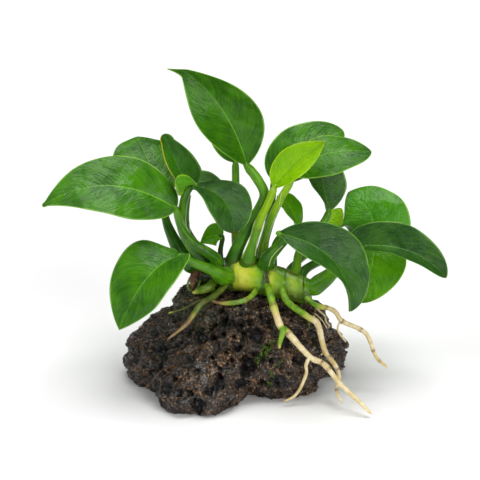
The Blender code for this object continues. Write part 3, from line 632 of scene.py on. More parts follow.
def blade_material(name, look):
    """The upper side of a blade: arched streaks between the veins, a pale midrib and margin, a soft gloss."""
    tree = Tree(name)
    place = tree.place()
    vein = tree.attribute("vein")
    across = tree.attribute("across")
    patches = tree.noise(place, 9.0, 2.0)
    colour = tree.mix(tree.between(patches, 0.3, 0.7, 0.15, 0.85), look.deep, look.fresh)
    crinkle = tree.grain(vein, 13.0, across, 2.4, 3.0, 0.6, 0.4)
    streaks = tree.grain(vein, 36.0, across, 2.6, 3.0, 0.6, 0.3)
    colour = tree.mix(tree.between(crinkle, 0.45, 0.7, 0.0, 0.45), colour, look.fresh)
    colour = tree.mix(tree.between(crinkle, 0.5, 0.25, 0.0, 0.5), colour, look.deep)
    colour = tree.mix(tree.between(streaks, 0.45, 0.2, 0.0, 0.45), colour, look.deep)
    fine = tree.grain(vein, 110.0, across, 7.0)
    wave = tree.math("PINGPONG", tree.times(vein, float(SIDE_VEINS)), 0.5)
    side_vein = tree.between(wave, 0.0, 0.05, 1.0, 0.0)
    colour = tree.mix(tree.times(side_vein, 0.1), colour, look.midrib)
    midrib = tree.between(tree.attribute("from_midrib"), 0.08, 0.3, 1.0, 0.0)
    fading = tree.between(tree.attribute("share"), 0.15, 0.9, 0.85, 0.2)
    colour = tree.mix(tree.times(midrib, fading), colour, look.midrib)
    from_margin = tree.attribute("from_margin")
    patchy = tree.between(tree.noise(place, 9.0, 1.0), 0.42, 0.62, 0.0, 0.6)
    inner = tree.times(tree.between(from_margin, 0.12, 0.25), tree.between(from_margin, 0.6, 0.35))
    colour = tree.mix(tree.times(inner, patchy), colour, PALE_EDGE)
    colour = tree.mix(tree.between(from_margin, 0.16, 0.42, 0.9, 0.0), colour, look.margin)
    if name == "blade_yellow_edged":
        one_side = tree.between(across, -0.3, -0.6)
        edge = tree.times(one_side, tree.between(from_margin, 0.3, 0.6, 0.95, 0.0))
        colour = tree.mix(edge, colour, YELLOW_EDGE)
    colour = tree.mix(tree.attribute("browned"), colour, BROWN_TIP)
    rough = tree.between(tree.plus(streaks, tree.noise(place, 4.0)), 0.8, 1.2, 0.14, 0.32)
    relief = tree.bump(tree.noise(place, 6.0, 1.0), 0.8)
    relief = tree.bump(crinkle, 0.42, relief)
    relief = tree.bump(streaks, 0.25, relief)
    relief = tree.bump(tree.noise(place, 2.0, 2.0), 0.2, relief)
    relief = tree.bump(fine, 0.06, relief)
    return tree.done(colour, rough, relief, Specular_IOR_Level=look.gloss)


def blade_under_material(name, look):
    """The lower side: paler and duller, its veins standing out."""
    tree = Tree(name)
    place = tree.place()
    streaks = tree.grain(tree.attribute("vein"), 40.0, tree.attribute("across"), 1.0, 3.0, 0.6)
    colour = tree.mix(tree.between(streaks, 0.3, 0.75, 0.0, 0.6), look.under, look.fresh)
    midrib = tree.between(tree.attribute("from_midrib"), 0.3, 1.0, 1.0, 0.0)
    colour = tree.mix(tree.times(midrib, 0.7), colour, look.margin)
    colour = tree.mix(tree.attribute("browned"), colour, BROWN_TIP)
    rough = tree.between(tree.noise(place, 1.2, 2.0), 0.3, 0.7, 0.42, 0.58)
    relief = tree.bump(streaks, 0.15)
    return tree.done(colour, rough, relief)


def stalk_material():
    """Smooth stalks from dark to yellow-green, streaked along their length, with brown joints."""
    tree = Tree("leaf_stalk")
    place = tree.place()
    tone = tree.plus(tree.attribute("tone"), tree.times(tree.plus(tree.noise(place, 6.0), -0.5), 0.7))
    colour = tree.ramp(tone, (0.0, (0.008, 0.050, 0.002)), (0.3, (0.032, 0.150, 0.003)),
                       (0.6, (0.110, 0.330, 0.004)), (1.0, (0.330, 0.560, 0.012)))
    streaks = tree.grain(tree.attribute("around"), 9.0, tree.attribute("along"), 0.12, 3.0, 0.6)
    colour = tree.mix(tree.between(tone, 1.1, 1.4), colour, (0.55, 0.66, 0.28))
    light = tree.times(tree.between(streaks, 0.5, 0.75, 0.0, 0.5), tree.between(tone, 0.1, 0.5, 0.3, 1.0))
    colour = tree.mix(light, colour, (0.28, 0.52, 0.03))
    colour = tree.mix(tree.between(streaks, 0.45, 0.2, 0.0, 0.75), colour, (0.014, 0.070, 0.002))
    foot = tree.between(tree.attribute("share"), 0.1, 0.0, 0.0, 0.3)
    colour = tree.mix(foot, colour, (0.22, 0.40, 0.03))
    ragged = tree.between(tree.noise(place, 0.9, 3.0), 0.3, 0.55, 0.3, 1.0)
    brown = tree.times(tree.attribute("browned"), ragged)
    colour = tree.mix(tree.times(brown, 0.8), colour, (0.10, 0.045, 0.010))
    rough = tree.between(streaks, 0.3, 0.7, 0.22, 0.38)
    relief = tree.bump(streaks, 0.1)
    relief = tree.bump(tree.noise(place, 0.5, 2.0), 0.02, relief)
    return tree.done(colour, rough, relief, Specular_IOR_Level=0.35)


def rhizome_material():
    """The creeping stem: green and yellow between rings with brown scars, with painted shade on its underside
    where it rests on the stone, and a dark left end that is partly its own old green and partly painted
    shade.
    """
    tree = Tree("creeping_stem")
    place = tree.place()
    axes = tree.axes(place)
    wobble = tree.plus(axes["X"], tree.times(tree.plus(tree.noise(place, 3.0), -0.5), 3.0))
    first, last = -16.0, 28.0
    share = tree.math("DIVIDE", tree.plus(wobble, -first), last - first)

    def at(x):
        return (x - first) / (last - first)

    # Colour along the stem from left to right: the dark left end is partly its own old green and partly
    # painted shade; yellow and green bands lie between the rings
    colour = tree.ramp(
        share,
        (at(-16), (0.012, 0.022, 0.004)), (at(-6), (0.018, 0.045, 0.004)), (at(-1.6), (0.035, 0.090, 0.005)),
        (at(-0.4), (0.50, 0.60, 0.03)), (at(2.6), (0.74, 0.76, 0.08)), (at(5.4), (0.48, 0.62, 0.02)),
        (at(8.4), (0.16, 0.40, 0.01)), (at(9.8), (0.03, 0.12, 0.006)), (at(11.2), (0.05, 0.16, 0.008)),
        (at(12.2), (0.56, 0.64, 0.05)), (at(14.5), (0.28, 0.50, 0.02)), (at(17.5), (0.10, 0.28, 0.01)),
        (at(20), (0.38, 0.54, 0.05)), (at(23.4), (0.14, 0.34, 0.01)), (at(28), (0.07, 0.22, 0.008)))
    facing = tree.axes(tree.node("ShaderNodeNewGeometry").outputs["Normal"])["Z"]
    upper = tree.plus(facing, tree.times(tree.noise(place, 2.5), 0.8))
    colour = tree.mix(tree.between(upper, 1.0, 1.4, 0.0, 0.7), colour, (0.03, 0.15, 0.004))
    # Painted shade: the underside darkens towards the bottom, where the stem rests on the stone
    low = tree.between(axes["Z"], 38.6, 34.6)
    colour = tree.mix(tree.times(low, 0.85), colour, (0.045, 0.085, 0.006))
    mottle = tree.noise(place, 1.6, 3.0, 0.6)
    colour = tree.mix(tree.between(mottle, 0.55, 0.75, 0.0, 0.4), colour, (0.07, 0.22, 0.006))
    lines = tree.grain(axes["X"], 0.5, tree.attribute("around"), 9.0)
    colour = tree.mix(tree.between(lines, 0.55, 0.8, 0.0, 0.35), colour, (0.62, 0.66, 0.16))
    ragged = tree.between(tree.noise(place, 0.9, 3.0), 0.28, 0.5, 0.3, 1.0)
    scar = tree.times(tree.attribute("scar"), ragged)
    colour = tree.mix(tree.between(scar, 0.3, 0.8), colour, (0.07, 0.03, 0.012))
    rough = tree.between(mottle, 0.3, 0.7, 0.18, 0.34)
    relief = tree.bump(mottle, 0.12)
    relief = tree.bump(tree.noise(place, 0.4, 2.0), 0.03, relief)
    return tree.done(colour, rough, relief, Specular_IOR_Level=0.4)


def root_material():
    """Roots run from green through cream to brown, with dark joints and fine cross wrinkles."""
    tree = Tree("root_skin")
    place = tree.place()
    patches = tree.noise(place, 2.2, 3.0, 0.6)
    cream = tree.mix(tree.between(patches, 0.35, 0.7), (0.72, 0.57, 0.28), (0.90, 0.78, 0.50))
    tanned = tree.between(tree.noise(place, 4.5, 2.0), 0.52, 0.7, 0.0, 0.6)
    cream = tree.mix(tanned, cream, (0.55, 0.38, 0.06))
    green = tree.mix(tree.between(patches, 0.3, 0.7), (0.07, 0.24, 0.004), (0.26, 0.46, 0.008))
    dull = tree.mix(tree.between(patches, 0.3, 0.7), (0.03, 0.04, 0.006), (0.12, 0.13, 0.02))
    green = tree.mix(tree.attribute("olive"), green, dull)
    edge = tree.plus(tree.attribute("green"), tree.times(tree.plus(patches, -0.5), 0.25))
    fading = tree.times(tree.between(edge, 0.05, 0.45), tree.between(edge, 0.85, 0.5))
    colour = tree.mix(tree.between(edge, 0.35, 0.75), cream, green)
    colour = tree.mix(tree.times(fading, 0.7), colour, (0.50, 0.52, 0.03))
    joint = tree.times(tree.attribute("joint"), tree.between(tree.noise(place, 0.8, 2.0), 0.3, 0.6, 0.4, 1.0))
    colour = tree.mix(joint, colour, (0.19, 0.095, 0.012))
    browned = tree.mix(tree.between(patches, 0.35, 0.65), (0.085, 0.032, 0.007), (0.27, 0.13, 0.022))
    colour = tree.mix(tree.attribute("browned"), colour, browned)
    wrinkle = tree.grain(tree.attribute("along"), 2.2, tree.attribute("around"), 2.0)
    rough = tree.between(patches, 0.3, 0.7, 0.3, 0.5)
    relief = tree.bump(wrinkle, 0.08)
    return tree.done(colour, rough, relief, Coat_Weight=0.15, Coat_Roughness=0.2)


def stone_material():
    """Black lava, wet in places, freckled with rust and tan, brown in front and mossy at the upper left, with
    painted shade inside its pits, holes and pores.
    """
    tree = Tree("wet_lava")
    place = tree.place()
    axes = tree.axes(place)
    broad = tree.noise(place, 11.0, 4.0, 0.6)
    grain = tree.noise(place, 1.3, 5.0, 0.72)
    colour = tree.mix(tree.between(grain, 0.4, 0.7), (0.0020, 0.0016, 0.0014), (0.080, 0.060, 0.045))
    browner = tree.between(axes["X"], -22.0, 0.0, 0.25, 0.85)
    warm = tree.times(tree.between(broad, 0.38, 0.6), browner)
    colour = tree.mix(tree.times(warm, tree.between(grain, 0.3, 0.6)), colour, (0.065, 0.034, 0.018))
    clusters = tree.between(tree.noise(place, 5.0, 2.0), 0.42, 0.6)
    crumbs = tree.noise(place, 0.95, 3.0, 0.6)
    rust = tree.times(tree.between(crumbs, 0.54, 0.61), clusters)
    colour = tree.mix(tree.times(rust, 0.9), colour, (0.42, 0.19, 0.055))
    pale_grains = tree.between(tree.noise(place, 0.8, 2.0), 0.61, 0.67)
    colour = tree.mix(tree.times(pale_grains, browner), colour, (0.60, 0.42, 0.27))
    ash = tree.times(tree.between(axes["X"], 24.0, 36.0), tree.between(grain, 0.4, 0.6))
    colour = tree.mix(tree.times(ash, 0.5), colour, (0.15, 0.12, 0.10))
    # Painted shade: the pits, holes and pores are darkened towards black inside
    pit_shade = tree.attribute("pit_shade")
    colour = tree.mix(tree.between(pit_shade, 0.2, 0.8, 0.0, 0.95), colour, (0.0022, 0.0020, 0.0018))
    left = tree.between(axes["X"], 4.0, -16.0)
    high = tree.between(axes["Z"], 19.0, 29.0)
    growth = tree.times(tree.times(left, high), tree.between(broad, 0.3, 0.55))
    moss = tree.times(growth, tree.between(tree.noise(place, 2.0, 3.0, 0.6), 0.38, 0.58))
    colour = tree.mix(tree.times(moss, 0.8), colour, (0.040, 0.052, 0.010))
    wet = tree.noise(place, 2.2, 3.0, 0.6)
    rough = tree.between(wet, 0.4, 0.62, 0.10, 0.45)
    relief = tree.bump(grain, 1.6)
    relief = tree.bump(tree.cells(place, 1.3), 1.0, relief)
    relief = tree.bump(tree.noise(place, 0.7, 2.0), 0.5, relief)
    return tree.done(colour, rough, relief, Specular_IOR_Level=0.45, Coat_Weight=0.3, Coat_Roughness=0.07)


def moss_material():
    """Moss strands, from olive to fresh green."""
    tree = Tree("moss_green")
    place = tree.place()
    patches = tree.noise(place, 1.5, 2.0)
    colour = tree.mix(tree.between(patches, 0.35, 0.65), (0.07, 0.16, 0.008), (0.20, 0.33, 0.015))
    left = tree.between(tree.axes(place)["X"], 0.0, -6.0)
    colour = tree.mix(left, colour, (0.055, 0.070, 0.014))
    return tree.done(colour, 0.6, tree.bump(tree.noise(place, 0.3), 0.05))


def dead_material():
    """Dead stalk and papery sheath ends: brown fibres, dull."""
    tree = Tree("dead_fibre")
    place = tree.place()
    fibre = tree.grain(tree.attribute("around"), 12.0, tree.attribute("along"), 0.4, 3.0, 0.65)
    colour = tree.mix(tree.between(fibre, 0.3, 0.7), (0.030, 0.012, 0.005), (0.20, 0.075, 0.030))
    papery = tree.between(tree.noise(place, 1.5, 2.0), 0.55, 0.7, 0.0, 0.7)
    colour = tree.mix(papery, colour, (0.38, 0.22, 0.10))
    relief = tree.bump(fibre, 0.3)
    return tree.done(colour, 0.65, relief)


def floor_material():
    """Plain pale paper."""
    tree = Tree("pale_floor")
    place = tree.place()
    colour = tree.mix(tree.noise(place, 40.0, 2.0), (0.90, 0.90, 0.90), (0.93, 0.93, 0.93))
    return tree.done(colour, 0.8, tree.bump(tree.noise(place, 1.0, 2.0), 0.01), Specular_IOR_Level=0.2)


# Meshes


def finished(name, bm, surfaces, slot, *replaced):
    """The object in metres, riding with the plant and standing for the solids that it replaces."""
    bmesh.ops.scale(bm, vec=(MM, MM, MM), verts=bm.verts)
    mesh = bpy.data.meshes.new(name)
    bm.to_mesh(mesh)
    bm.free()
    mesh.shade_smooth()
    for surface in surfaces:
        mesh.materials.append(surface)
    made = bpy.data.objects.new(name, mesh)
    bpy.context.scene.collection.objects.link(made)
    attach(made, "root")
    if replaced:
        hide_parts(*replaced)
    return made


def tree_of(*pieces):
    """The pieces' faces, ready to be searched for the nearest point, in metres."""
    corners = []
    faces = []
    for piece in pieces:
        first = len(corners)
        corners += [vert.co.copy() for vert in piece.data.vertices]
        faces += [[first + corner for corner in face.vertices] for face in piece.data.polygons]
    return BVHTree.FromPolygons(corners, faces)


def smooth_route(points, count, steps=24):
    """Evenly spaced points on a smooth curve through the given ones."""
    given = [Vector(point) for point in points]
    padded = [2 * given[0] - given[1], *given, 2 * given[-1] - given[-2]]
    dense = []
    for a, b, c, d in zip(padded, padded[1:], padded[2:], padded[3:]):
        for step in range(steps):
            t = step / steps
            bend = (2 * a - 5 * b + 4 * c - d) * t * t + (3 * b - a - 3 * c + d) * t**3
            dense.append((2 * b + (c - a) * t + bend) / 2)
    dense = np.array([*dense, given[-1]])
    travelled = np.concatenate([[0], np.cumsum(np.linalg.norm(np.diff(dense, axis=0), axis=1))])
    wanted = np.linspace(0, travelled[-1], count)
    return [Vector(np.interp(at, travelled, dense[:, axis]) for axis in range(3)) for at in wanted]


def spread(values, count):
    """The few values given, eased out evenly over count places."""
    return np.interp(np.linspace(0, 1, count), np.linspace(0, 1, len(values)), values)


def marked_at(places, shares, length, half_length):
    """For each share along a tube, 1 at the places given and falling softly to 0 beside them."""
    marked = shares * 0
    for at in places:
        marked = np.maximum(marked, np.exp(-(((shares - at) * length / half_length) ** 2)))
    return marked


def directions(route):
    """The way that the route runs at each of its points."""
    ahead = [*route[1:], 2 * route[-1] - route[-2]]
    behind = [2 * route[0] - route[1], *route[:-1]]
    return [(b - a).normalized() for a, b in zip(behind, ahead)]


def tube(route, radii, sides, marks=None, swell=None, first_across=None):
    """A closed tube along the route, with its along, share and around places marked on its points.

    marks gives more point marks, one value for each ring. swell gives a factor on the radius from the ring's
    share and the angle round it. first_across is the direction of the tube's angle 0 at its start.
    """
    bm = bmesh.new()
    names = ["along", "share", "around", *(marks or {})]
    layers = {name: bm.verts.layers.float.new(name) for name in names}
    rings = []
    across = None
    way_before = None
    travelled = 0.0
    for index, (place, way, radius) in enumerate(zip(route, directions(route), radii)):
        if across is None:
            wanted = Vector(first_across) if first_across else way.orthogonal()
            across = (wanted - wanted.project(way)).normalized()
        else:
            across = way_before.rotation_difference(way) @ across
            travelled += (place - route[index - 1]).length
        way_before = way
        share = index / (len(route) - 1)
        ring = []
        for side in range(sides):
            angle = math.tau * side / sides
            factor = swell(share, angle, place) if swell else 1.0
            vert = bm.verts.new(place + Quaternion(way, angle) @ across * radius * factor)
            vert[layers["along"]] = travelled
            vert[layers["share"]] = share
            vert[layers["around"]] = abs(2 * side / sides - 1)
            for mark, values in (marks or {}).items():
                vert[layers[mark]] = values[index]
            ring.append(vert)
        rings.append(ring)
    for lower, upper in zip(rings, rings[1:]):
        for side in range(sides):
            after = (side + 1) % sides
            bm.faces.new((lower[side], lower[after], upper[after], upper[side]))
    bm.faces.new(reversed(rings[0]))
    bm.faces.new(rings[-1])
    return bm


def close_rim(bm, fronts, backs):
    """Joins the front and the back grid of a thin body round their rim and turns all its faces outwards."""
    rows, columns = len(fronts) - 1, len(fronts[0]) - 1
    rim = [(row, 0) for row in range(rows)] + [(rows, column) for column in range(columns)]
    rim += [(row, columns) for row in range(rows, 0, -1)] + [(0, column) for column in range(columns, 0, -1)]
    for (row, column), (next_row, next_column) in zip(rim, [*rim[1:], rim[0]]):
        bm.faces.new((fronts[row][column], fronts[next_row][next_column],
                      backs[next_row][next_column], backs[row][column]))
    bmesh.ops.recalc_face_normals(bm, faces=bm.faces)


def sheet(rows, thickness, fineness, marks):
    """A thin closed sheet drawn smoothly through rows of points, thinning out towards its edges."""
    across = [smooth_route(row, (len(row) - 1) * fineness + 1) for row in rows]
    columns = [smooth_route(column, (len(rows) - 1) * fineness + 1) for column in zip(*across)]
    count, height = len(columns), len(columns[0])
    bm = bmesh.new()
    names = ["along", "share", "around", "across", "vein", "from_midrib", "from_margin", *marks]
    layers = {name: bm.verts.layers.float.new(name) for name in names}
    fronts, backs = [], []
    for u in range(count):
        fronts.append([])
        backs.append([])
        for v in range(height):
            one = columns[min(u + 1, count - 1)][v] - columns[max(u - 1, 0)][v]
            other = columns[u][min(v + 1, height - 1)] - columns[u][max(v - 1, 0)]
            face = one.cross(other).normalized()
            inward = min(u, count - 1 - u, v, height - 1 - v) / fineness
            half = thickness / 2 * (0.3 + 0.7 * min(1.0, inward * 2))
            for side, grid in ((half, fronts), (-half, backs)):
                vert = bm.verts.new(columns[u][v] + face * side)
                vert[layers["along"]] = v / fineness
                vert[layers["share"]] = u / count
                vert[layers["around"]] = v / height
                vert[layers["across"]] = 2 * v / height - 1
                vert[layers["vein"]] = u / count
                vert[layers["from_midrib"]] = 2.0
                vert[layers["from_margin"]] = inward
                for mark, value in marks.items():
                    vert[layers[mark]] = value
                grid[-1].append(vert)
    for u in range(count - 1):
        for v in range(height - 1):
            for grid in (fronts, backs):
                bm.faces.new((grid[u][v], grid[u + 1][v], grid[u + 1][v + 1], grid[u][v + 1]))
    close_rim(bm, fronts, backs)
    return bm


def rounded_end(radii, rings):
    """The radii, drawn in over the last few rings so that the tube ends in a round tip."""
    radii = np.array(radii, float)
    for step in range(rings):
        radii[-1 - step] *= math.sqrt(1 - (1 - (step + 0.15) / rings) ** 2)
    return radii


# The stone


def on_stone(direction):
    """How far the stone reaches from its middle along each direction, before its roughness."""
    reach = np.linspace(0, STONE_REACH, STONE_STEPS)
    found = []
    for some in np.array_split(direction, max(1, len(direction) // STONE_BATCH)):
        field = np.zeros((len(some), len(reach)))
        places = np.array(STONE_MIDDLE) + some[:, None, :] * reach[None, :, None]
        for middle, sizes in STONE_LUMPS:
            away = np.linalg.norm((places - np.array(middle)) / np.array(sizes), axis=2)
            field += np.exp(STONE_SHARPNESS * (1 - away))
        inside = field >= 1
        last = len(reach) - 1 - np.argmax(inside[:, ::-1], axis=1)
        rows = np.arange(len(some))
        here = field[rows, last]
        beyond = field[rows, last + 1]
        found.append(reach[last] + (here - 1) / (here - beyond) * (reach[1] - reach[0]))
    return np.concatenate(found)


def roughness(place):
    """Height of the broken surface at a place: broad swellings, sharp ridges, small crags and grit."""
    swelling = SWELLINGS[0] * noise.noise(place / SWELLINGS[1])
    ridge = RIDGES[0] * (0.5 - abs(noise.noise(place / RIDGES[1] + Vector((7, 3, 1)))) * 2)
    crag = CRAGS[0] * noise.noise(place / CRAGS[1] + Vector((1, 5, 9)))
    grit = sum(height * (0.25 - abs(noise.noise(place / spacing))) for height, spacing in GRIT)
    return swelling + ridge + crag + grit


def make_stone(surface):
    """The stone, blown up from a cube, broken, pitted and pressed flat where it rests."""
    bm = bmesh.new()
    bmesh.ops.create_cube(bm, size=2)
    bmesh.ops.subdivide_edges(bm, edges=bm.edges, cuts=STONE_FACES_ACROSS - 1, use_grid_fill=True)
    spots = np.array([vert.co for vert in bm.verts])
    spots = np.tan(spots * math.pi / 4) * np.array(STONE_STRETCH)
    direction = spots / np.linalg.norm(spots, axis=1)[:, None]
    middle = np.array(STONE_MIDDLE)
    places = middle + direction * on_stone(direction)[:, None]
    stray, spacing = HOLLOW_RIMS
    noise.seed_set(HOLLOW_SEED)  # without it the vector noise starts from the clock
    bent = places + stray * np.array([noise.noise_vector(Vector(place) / spacing) for place in places])
    dent = np.zeros(len(places))
    # How far each place is darkened with painted shade: the inside of every pit, hole and pore
    dark = np.zeros(len(places))

    def closeness(heart, radius):
        """1 at the heart of a hollow and 0 from its rim on, for each place."""
        return np.clip(1 - (np.linalg.norm(bent - np.array(heart), axis=1) / radius) ** 2, 0, 1)

    for towards, radius, depth in STONE_PITS:
        aim = np.array(towards) - middle
        aim = aim / np.linalg.norm(aim)
        heart = middle + aim * on_stone(aim[None, :])[0]
        near = np.clip(closeness(heart, radius) * PIT_STEEPNESS, 0, 1)
        dent = np.maximum(dent, depth * near)
        dark = np.maximum(dark, near)
    for heart, radius, depth in HOLES:
        near = np.clip(closeness(heart, radius) * PIT_STEEPNESS, 0, 1)
        dent = np.maximum(dent, dent * KEPT_UNDER[0] + depth * near)
        dark = np.maximum(dark, near)
    chance = np.random.default_rng(PORE_SEED)
    hearts = bent[chance.integers(0, len(places), PORES)]
    narrowest, widest = PORE_RADII
    sizes = narrowest + (widest - narrowest) * chance.random(PORES) ** PORE_RARITY
    for heart, size in zip(hearts, sizes):
        near = closeness(heart, size) ** PORE_ROUNDNESS
        dent = np.maximum(dent, dent * KEPT_UNDER[1] + PORE_DEPTH * size * near)
        dark = np.maximum(dark, near * PORE_SHADE)
    layer = bm.verts.layers.float.new("pit_shade")
    centre = Vector(STONE_MIDDLE)
    for vert, place, way, hole, shade in zip(bm.verts, places, direction, dent, dark):
        place = Vector(place) + Vector(way) * (roughness(Vector(place)) - hole)
        if place.z < 0:
            place = centre + (place - centre) * (centre.z / (centre.z - place.z))
            place.z = 0
        vert.co = place
        vert[layer] = shade
    return finished("stone_lava", bm, [surface], "lava_stone", "stone")


# Leaves


def blade_width(leaf, share):
    """Half the blade's width at a share of its length."""
    blunt_base, blunt_tip = leaf.shape
    widest = blunt_base / (blunt_base + blunt_tip)
    rise = (share / widest) ** blunt_base
    fall = ((1 - share) / (1 - widest)) ** blunt_tip
    if share > 1 - leaf.rounding:
        fall = (leaf.rounding / (1 - widest)) ** blunt_tip
        fall *= math.sqrt(1 - ((share - 1 + leaf.rounding) / leaf.rounding) ** 2)
    return leaf.width / 2 * rise * fall


def blade_place(leaf, share, across):
    """A point of the blade's middle surface and the way that its face looks there."""
    base, middle, tip = Vector(leaf.base), Vector(leaf.middle), Vector(leaf.tip)
    bend = 2 * middle - (base + tip) / 2
    half = blade_width(leaf, share)
    run_back = leaf.lobe * (share / LOBE_SHARE) * math.exp(1 - share / LOBE_SHARE)
    if across > 0:
        half *= 1 - leaf.slack * math.exp(-(((share - SLACK_PLACE) / SLACK_PLACE) ** 2))
    along = share - run_back * abs(across) ** 1.5
    held = max(along, 0)
    place = (1 - held) ** 2 * base + 2 * held * (1 - held) * bend + held**2 * tip
    way = ((1 - held) * (bend - base) + held * (tip - bend)) * 2
    place += way * min(along, 0)
    chord = (tip - base).normalized()
    upward = Vector((0, 0, 1))
    upward = (upward - upward.project(chord)).normalized()
    face = Quaternion(chord, math.radians(leaf.turn + leaf.twist * (share - 0.5))) @ upward
    face = (face - face.project(way)).normalized()
    right = way.cross(face).normalized()
    lift = math.radians(leaf.fold)
    soft = FOLD_SOFTNESS
    rise = (math.sqrt(across**2 + soft**2) - soft) / (math.sqrt(1 + soft**2) - soft)
    place += right * (half * across * math.cos(lift))
    place += face * (half * rise * math.sin(lift) + half * leaf.curl * across**2)
    height, count, start = leaf.wave
    height *= min(1.0, half / WAVY_HALF)
    side = WAVE_LAG if across > 0 else 0.0
    place += face * (height * abs(across) ** 3 * math.sin(math.tau * (count * share + start + side)))
    drawn = max(0.0, (share - HOOK_START) / (1 - HOOK_START)) ** 1.4
    place += Vector(leaf.hook) * drawn
    return place, face


def make_blade(leaf, surface, under_surface):
    """A thin closed blade, grooved along its midrib above and ridged below, with side veins pressed in."""
    bm = bmesh.new()
    names = ("vein", "across", "share", "from_midrib", "from_margin", "browned")
    layers = {name: bm.verts.layers.float.new(name) for name in names}
    length = (Vector(leaf.tip) - Vector(leaf.base)).length
    sheets = ([], [])
    for row in range(BLADE_ROWS + 1):
        share = BLADE_ENDS + (1 - 2 * BLADE_ENDS) * (1 - math.cos(math.pi * row / BLADE_ROWS)) / 2
        half = blade_width(leaf, share)
        sheets[0].append([])
        sheets[1].append([])
        for column in range(BLADE_COLUMNS + 1):
            even = 2 * column / BLADE_COLUMNS - 1
            across = math.copysign(abs(even) ** 1.15, even)
            place, face = blade_place(leaf, share, across)
            from_midrib = half * abs(across)
            vein = share - VEIN_SWEEP * abs(across) ** 1.4
            thick = MARGIN_THICKNESS + (BLADE_THICKNESS - MARGIN_THICKNESS) * (1 - abs(across) ** 4)
            groove = GROOVE_DEPTH * math.exp(-((from_midrib / GROOVE_WIDTH) ** 2)) * (1 - share)
            body = math.sin(math.pi * min(1, abs(across))) * math.sin(math.pi * share)
            ripple = VEIN_RISE * math.cos(math.tau * SIDE_VEINS * vein) * body * min(1.0, half / VEINY_HALF)
            deep = MIDRIB_DEPTH[0] + (MIDRIB_DEPTH[1] - MIDRIB_DEPTH[0]) * share
            wide = MIDRIB_WIDTH[0] + (MIDRIB_WIDTH[1] - MIDRIB_WIDTH[0]) * share
            ridge = deep * math.exp(-((from_midrib / wide) ** 2))
            heights = (UPPER_SIDE - groove + ripple, UPPER_SIDE - thick - ridge + ripple)
            left = (1 - share) * length + from_midrib * 0.5
            browned = max(0.0, 1 - left / leaf.browned) ** 0.5 if leaf.browned else 0.0
            for grid, height in zip(sheets, heights):
                vert = bm.verts.new(place + face * height)
                vert[layers["vein"]] = vein
                vert[layers["across"]] = across
                vert[layers["share"]] = share
                vert[layers["from_midrib"]] = from_midrib
                vert[layers["from_margin"]] = half * (1 - abs(across))
                vert[layers["browned"]] = BROWN_DEPTH * browned
                grid[-1].append(vert)
    top, low = sheets
    for row in range(BLADE_ROWS):
        for column in range(BLADE_COLUMNS):
            corners = [top[row][column], top[row + 1][column], top[row + 1][column + 1], top[row][column + 1]]
            bm.faces.new(corners)
            corners = [low[row][column + 1], low[row + 1][column + 1], low[row + 1][column], low[row][column]]
            bm.faces.new(corners).material_index = 1
    close_rim(bm, top, low)
    slot = "young_leaf" if leaf.name == "young" else "leaf"
    return finished("blade_" + leaf.name, bm, [surface, under_surface], slot, "leaf_" + leaf.name)


def make_stalk(leaf, surface):
    """The stalk, broad where it clasps the creeping stem, running into the blade's midrib."""
    onward = blade_place(leaf, BLADE_START[0], 0)[0] - blade_place(leaf, 0, 0)[0]
    face = blade_place(leaf, BLADE_START[1], 0)[1]
    foot = Vector(leaf.stalk[0])
    heart = min(smooth_route(RHIZOME, STEM_PLACES), key=lambda place: (place - foot).length)
    under, deeper = STALK_UNDER
    points = [foot.lerp(heart, STALK_STARTS_IN), *leaf.stalk[1:-1], Vector(leaf.base) - face * under]
    points.append(points[-1] + onward.normalized() * STALK_RUNS_ON - face * deeper)
    route = smooth_route(points, STALK_RINGS)
    length = sum((b - a).length for a, b in zip(route, route[1:]))
    shares = np.linspace(0, 1, STALK_RINGS)
    half_joint, swells = STALK_JOINT
    joint = marked_at(leaf.joints, shares, length, half_joint)
    narrow, widens = FOOT_NARROWS
    radii = spread(leaf.radii, STALK_RINGS) * (1 + swells * joint)
    radii *= narrow + (1 - narrow) * np.clip(shares * length / widens, 0, 1) ** 0.7
    joined, left = STALK_END
    for step in range(joined):
        radii[-1 - step] *= left + (1 - left) * step / joined

    def swell(share, angle, place):
        sheath = max(0.0, 1 - share / SHEATH[0]) ** 1.5
        groove = STALK_GROOVE[0] * math.exp(-(((angle - math.pi / 2) / STALK_GROOVE[1]) ** 2))
        return 1 + SHEATH[1] * sheath * math.cos(angle) ** 2 - groove + 0.03 * noise.noise(place / 2.0)

    marks = {"browned": joint, "tone": spread(leaf.tone, STALK_RINGS)}
    bm = tube(route, radii, STALK_SIDES, marks, swell, (1, 0, 0))
    return finished("petiole_" + leaf.name, bm, [surface], "stalk", "stalk_" + leaf.name)


# Creeping stem, roots and what is dead


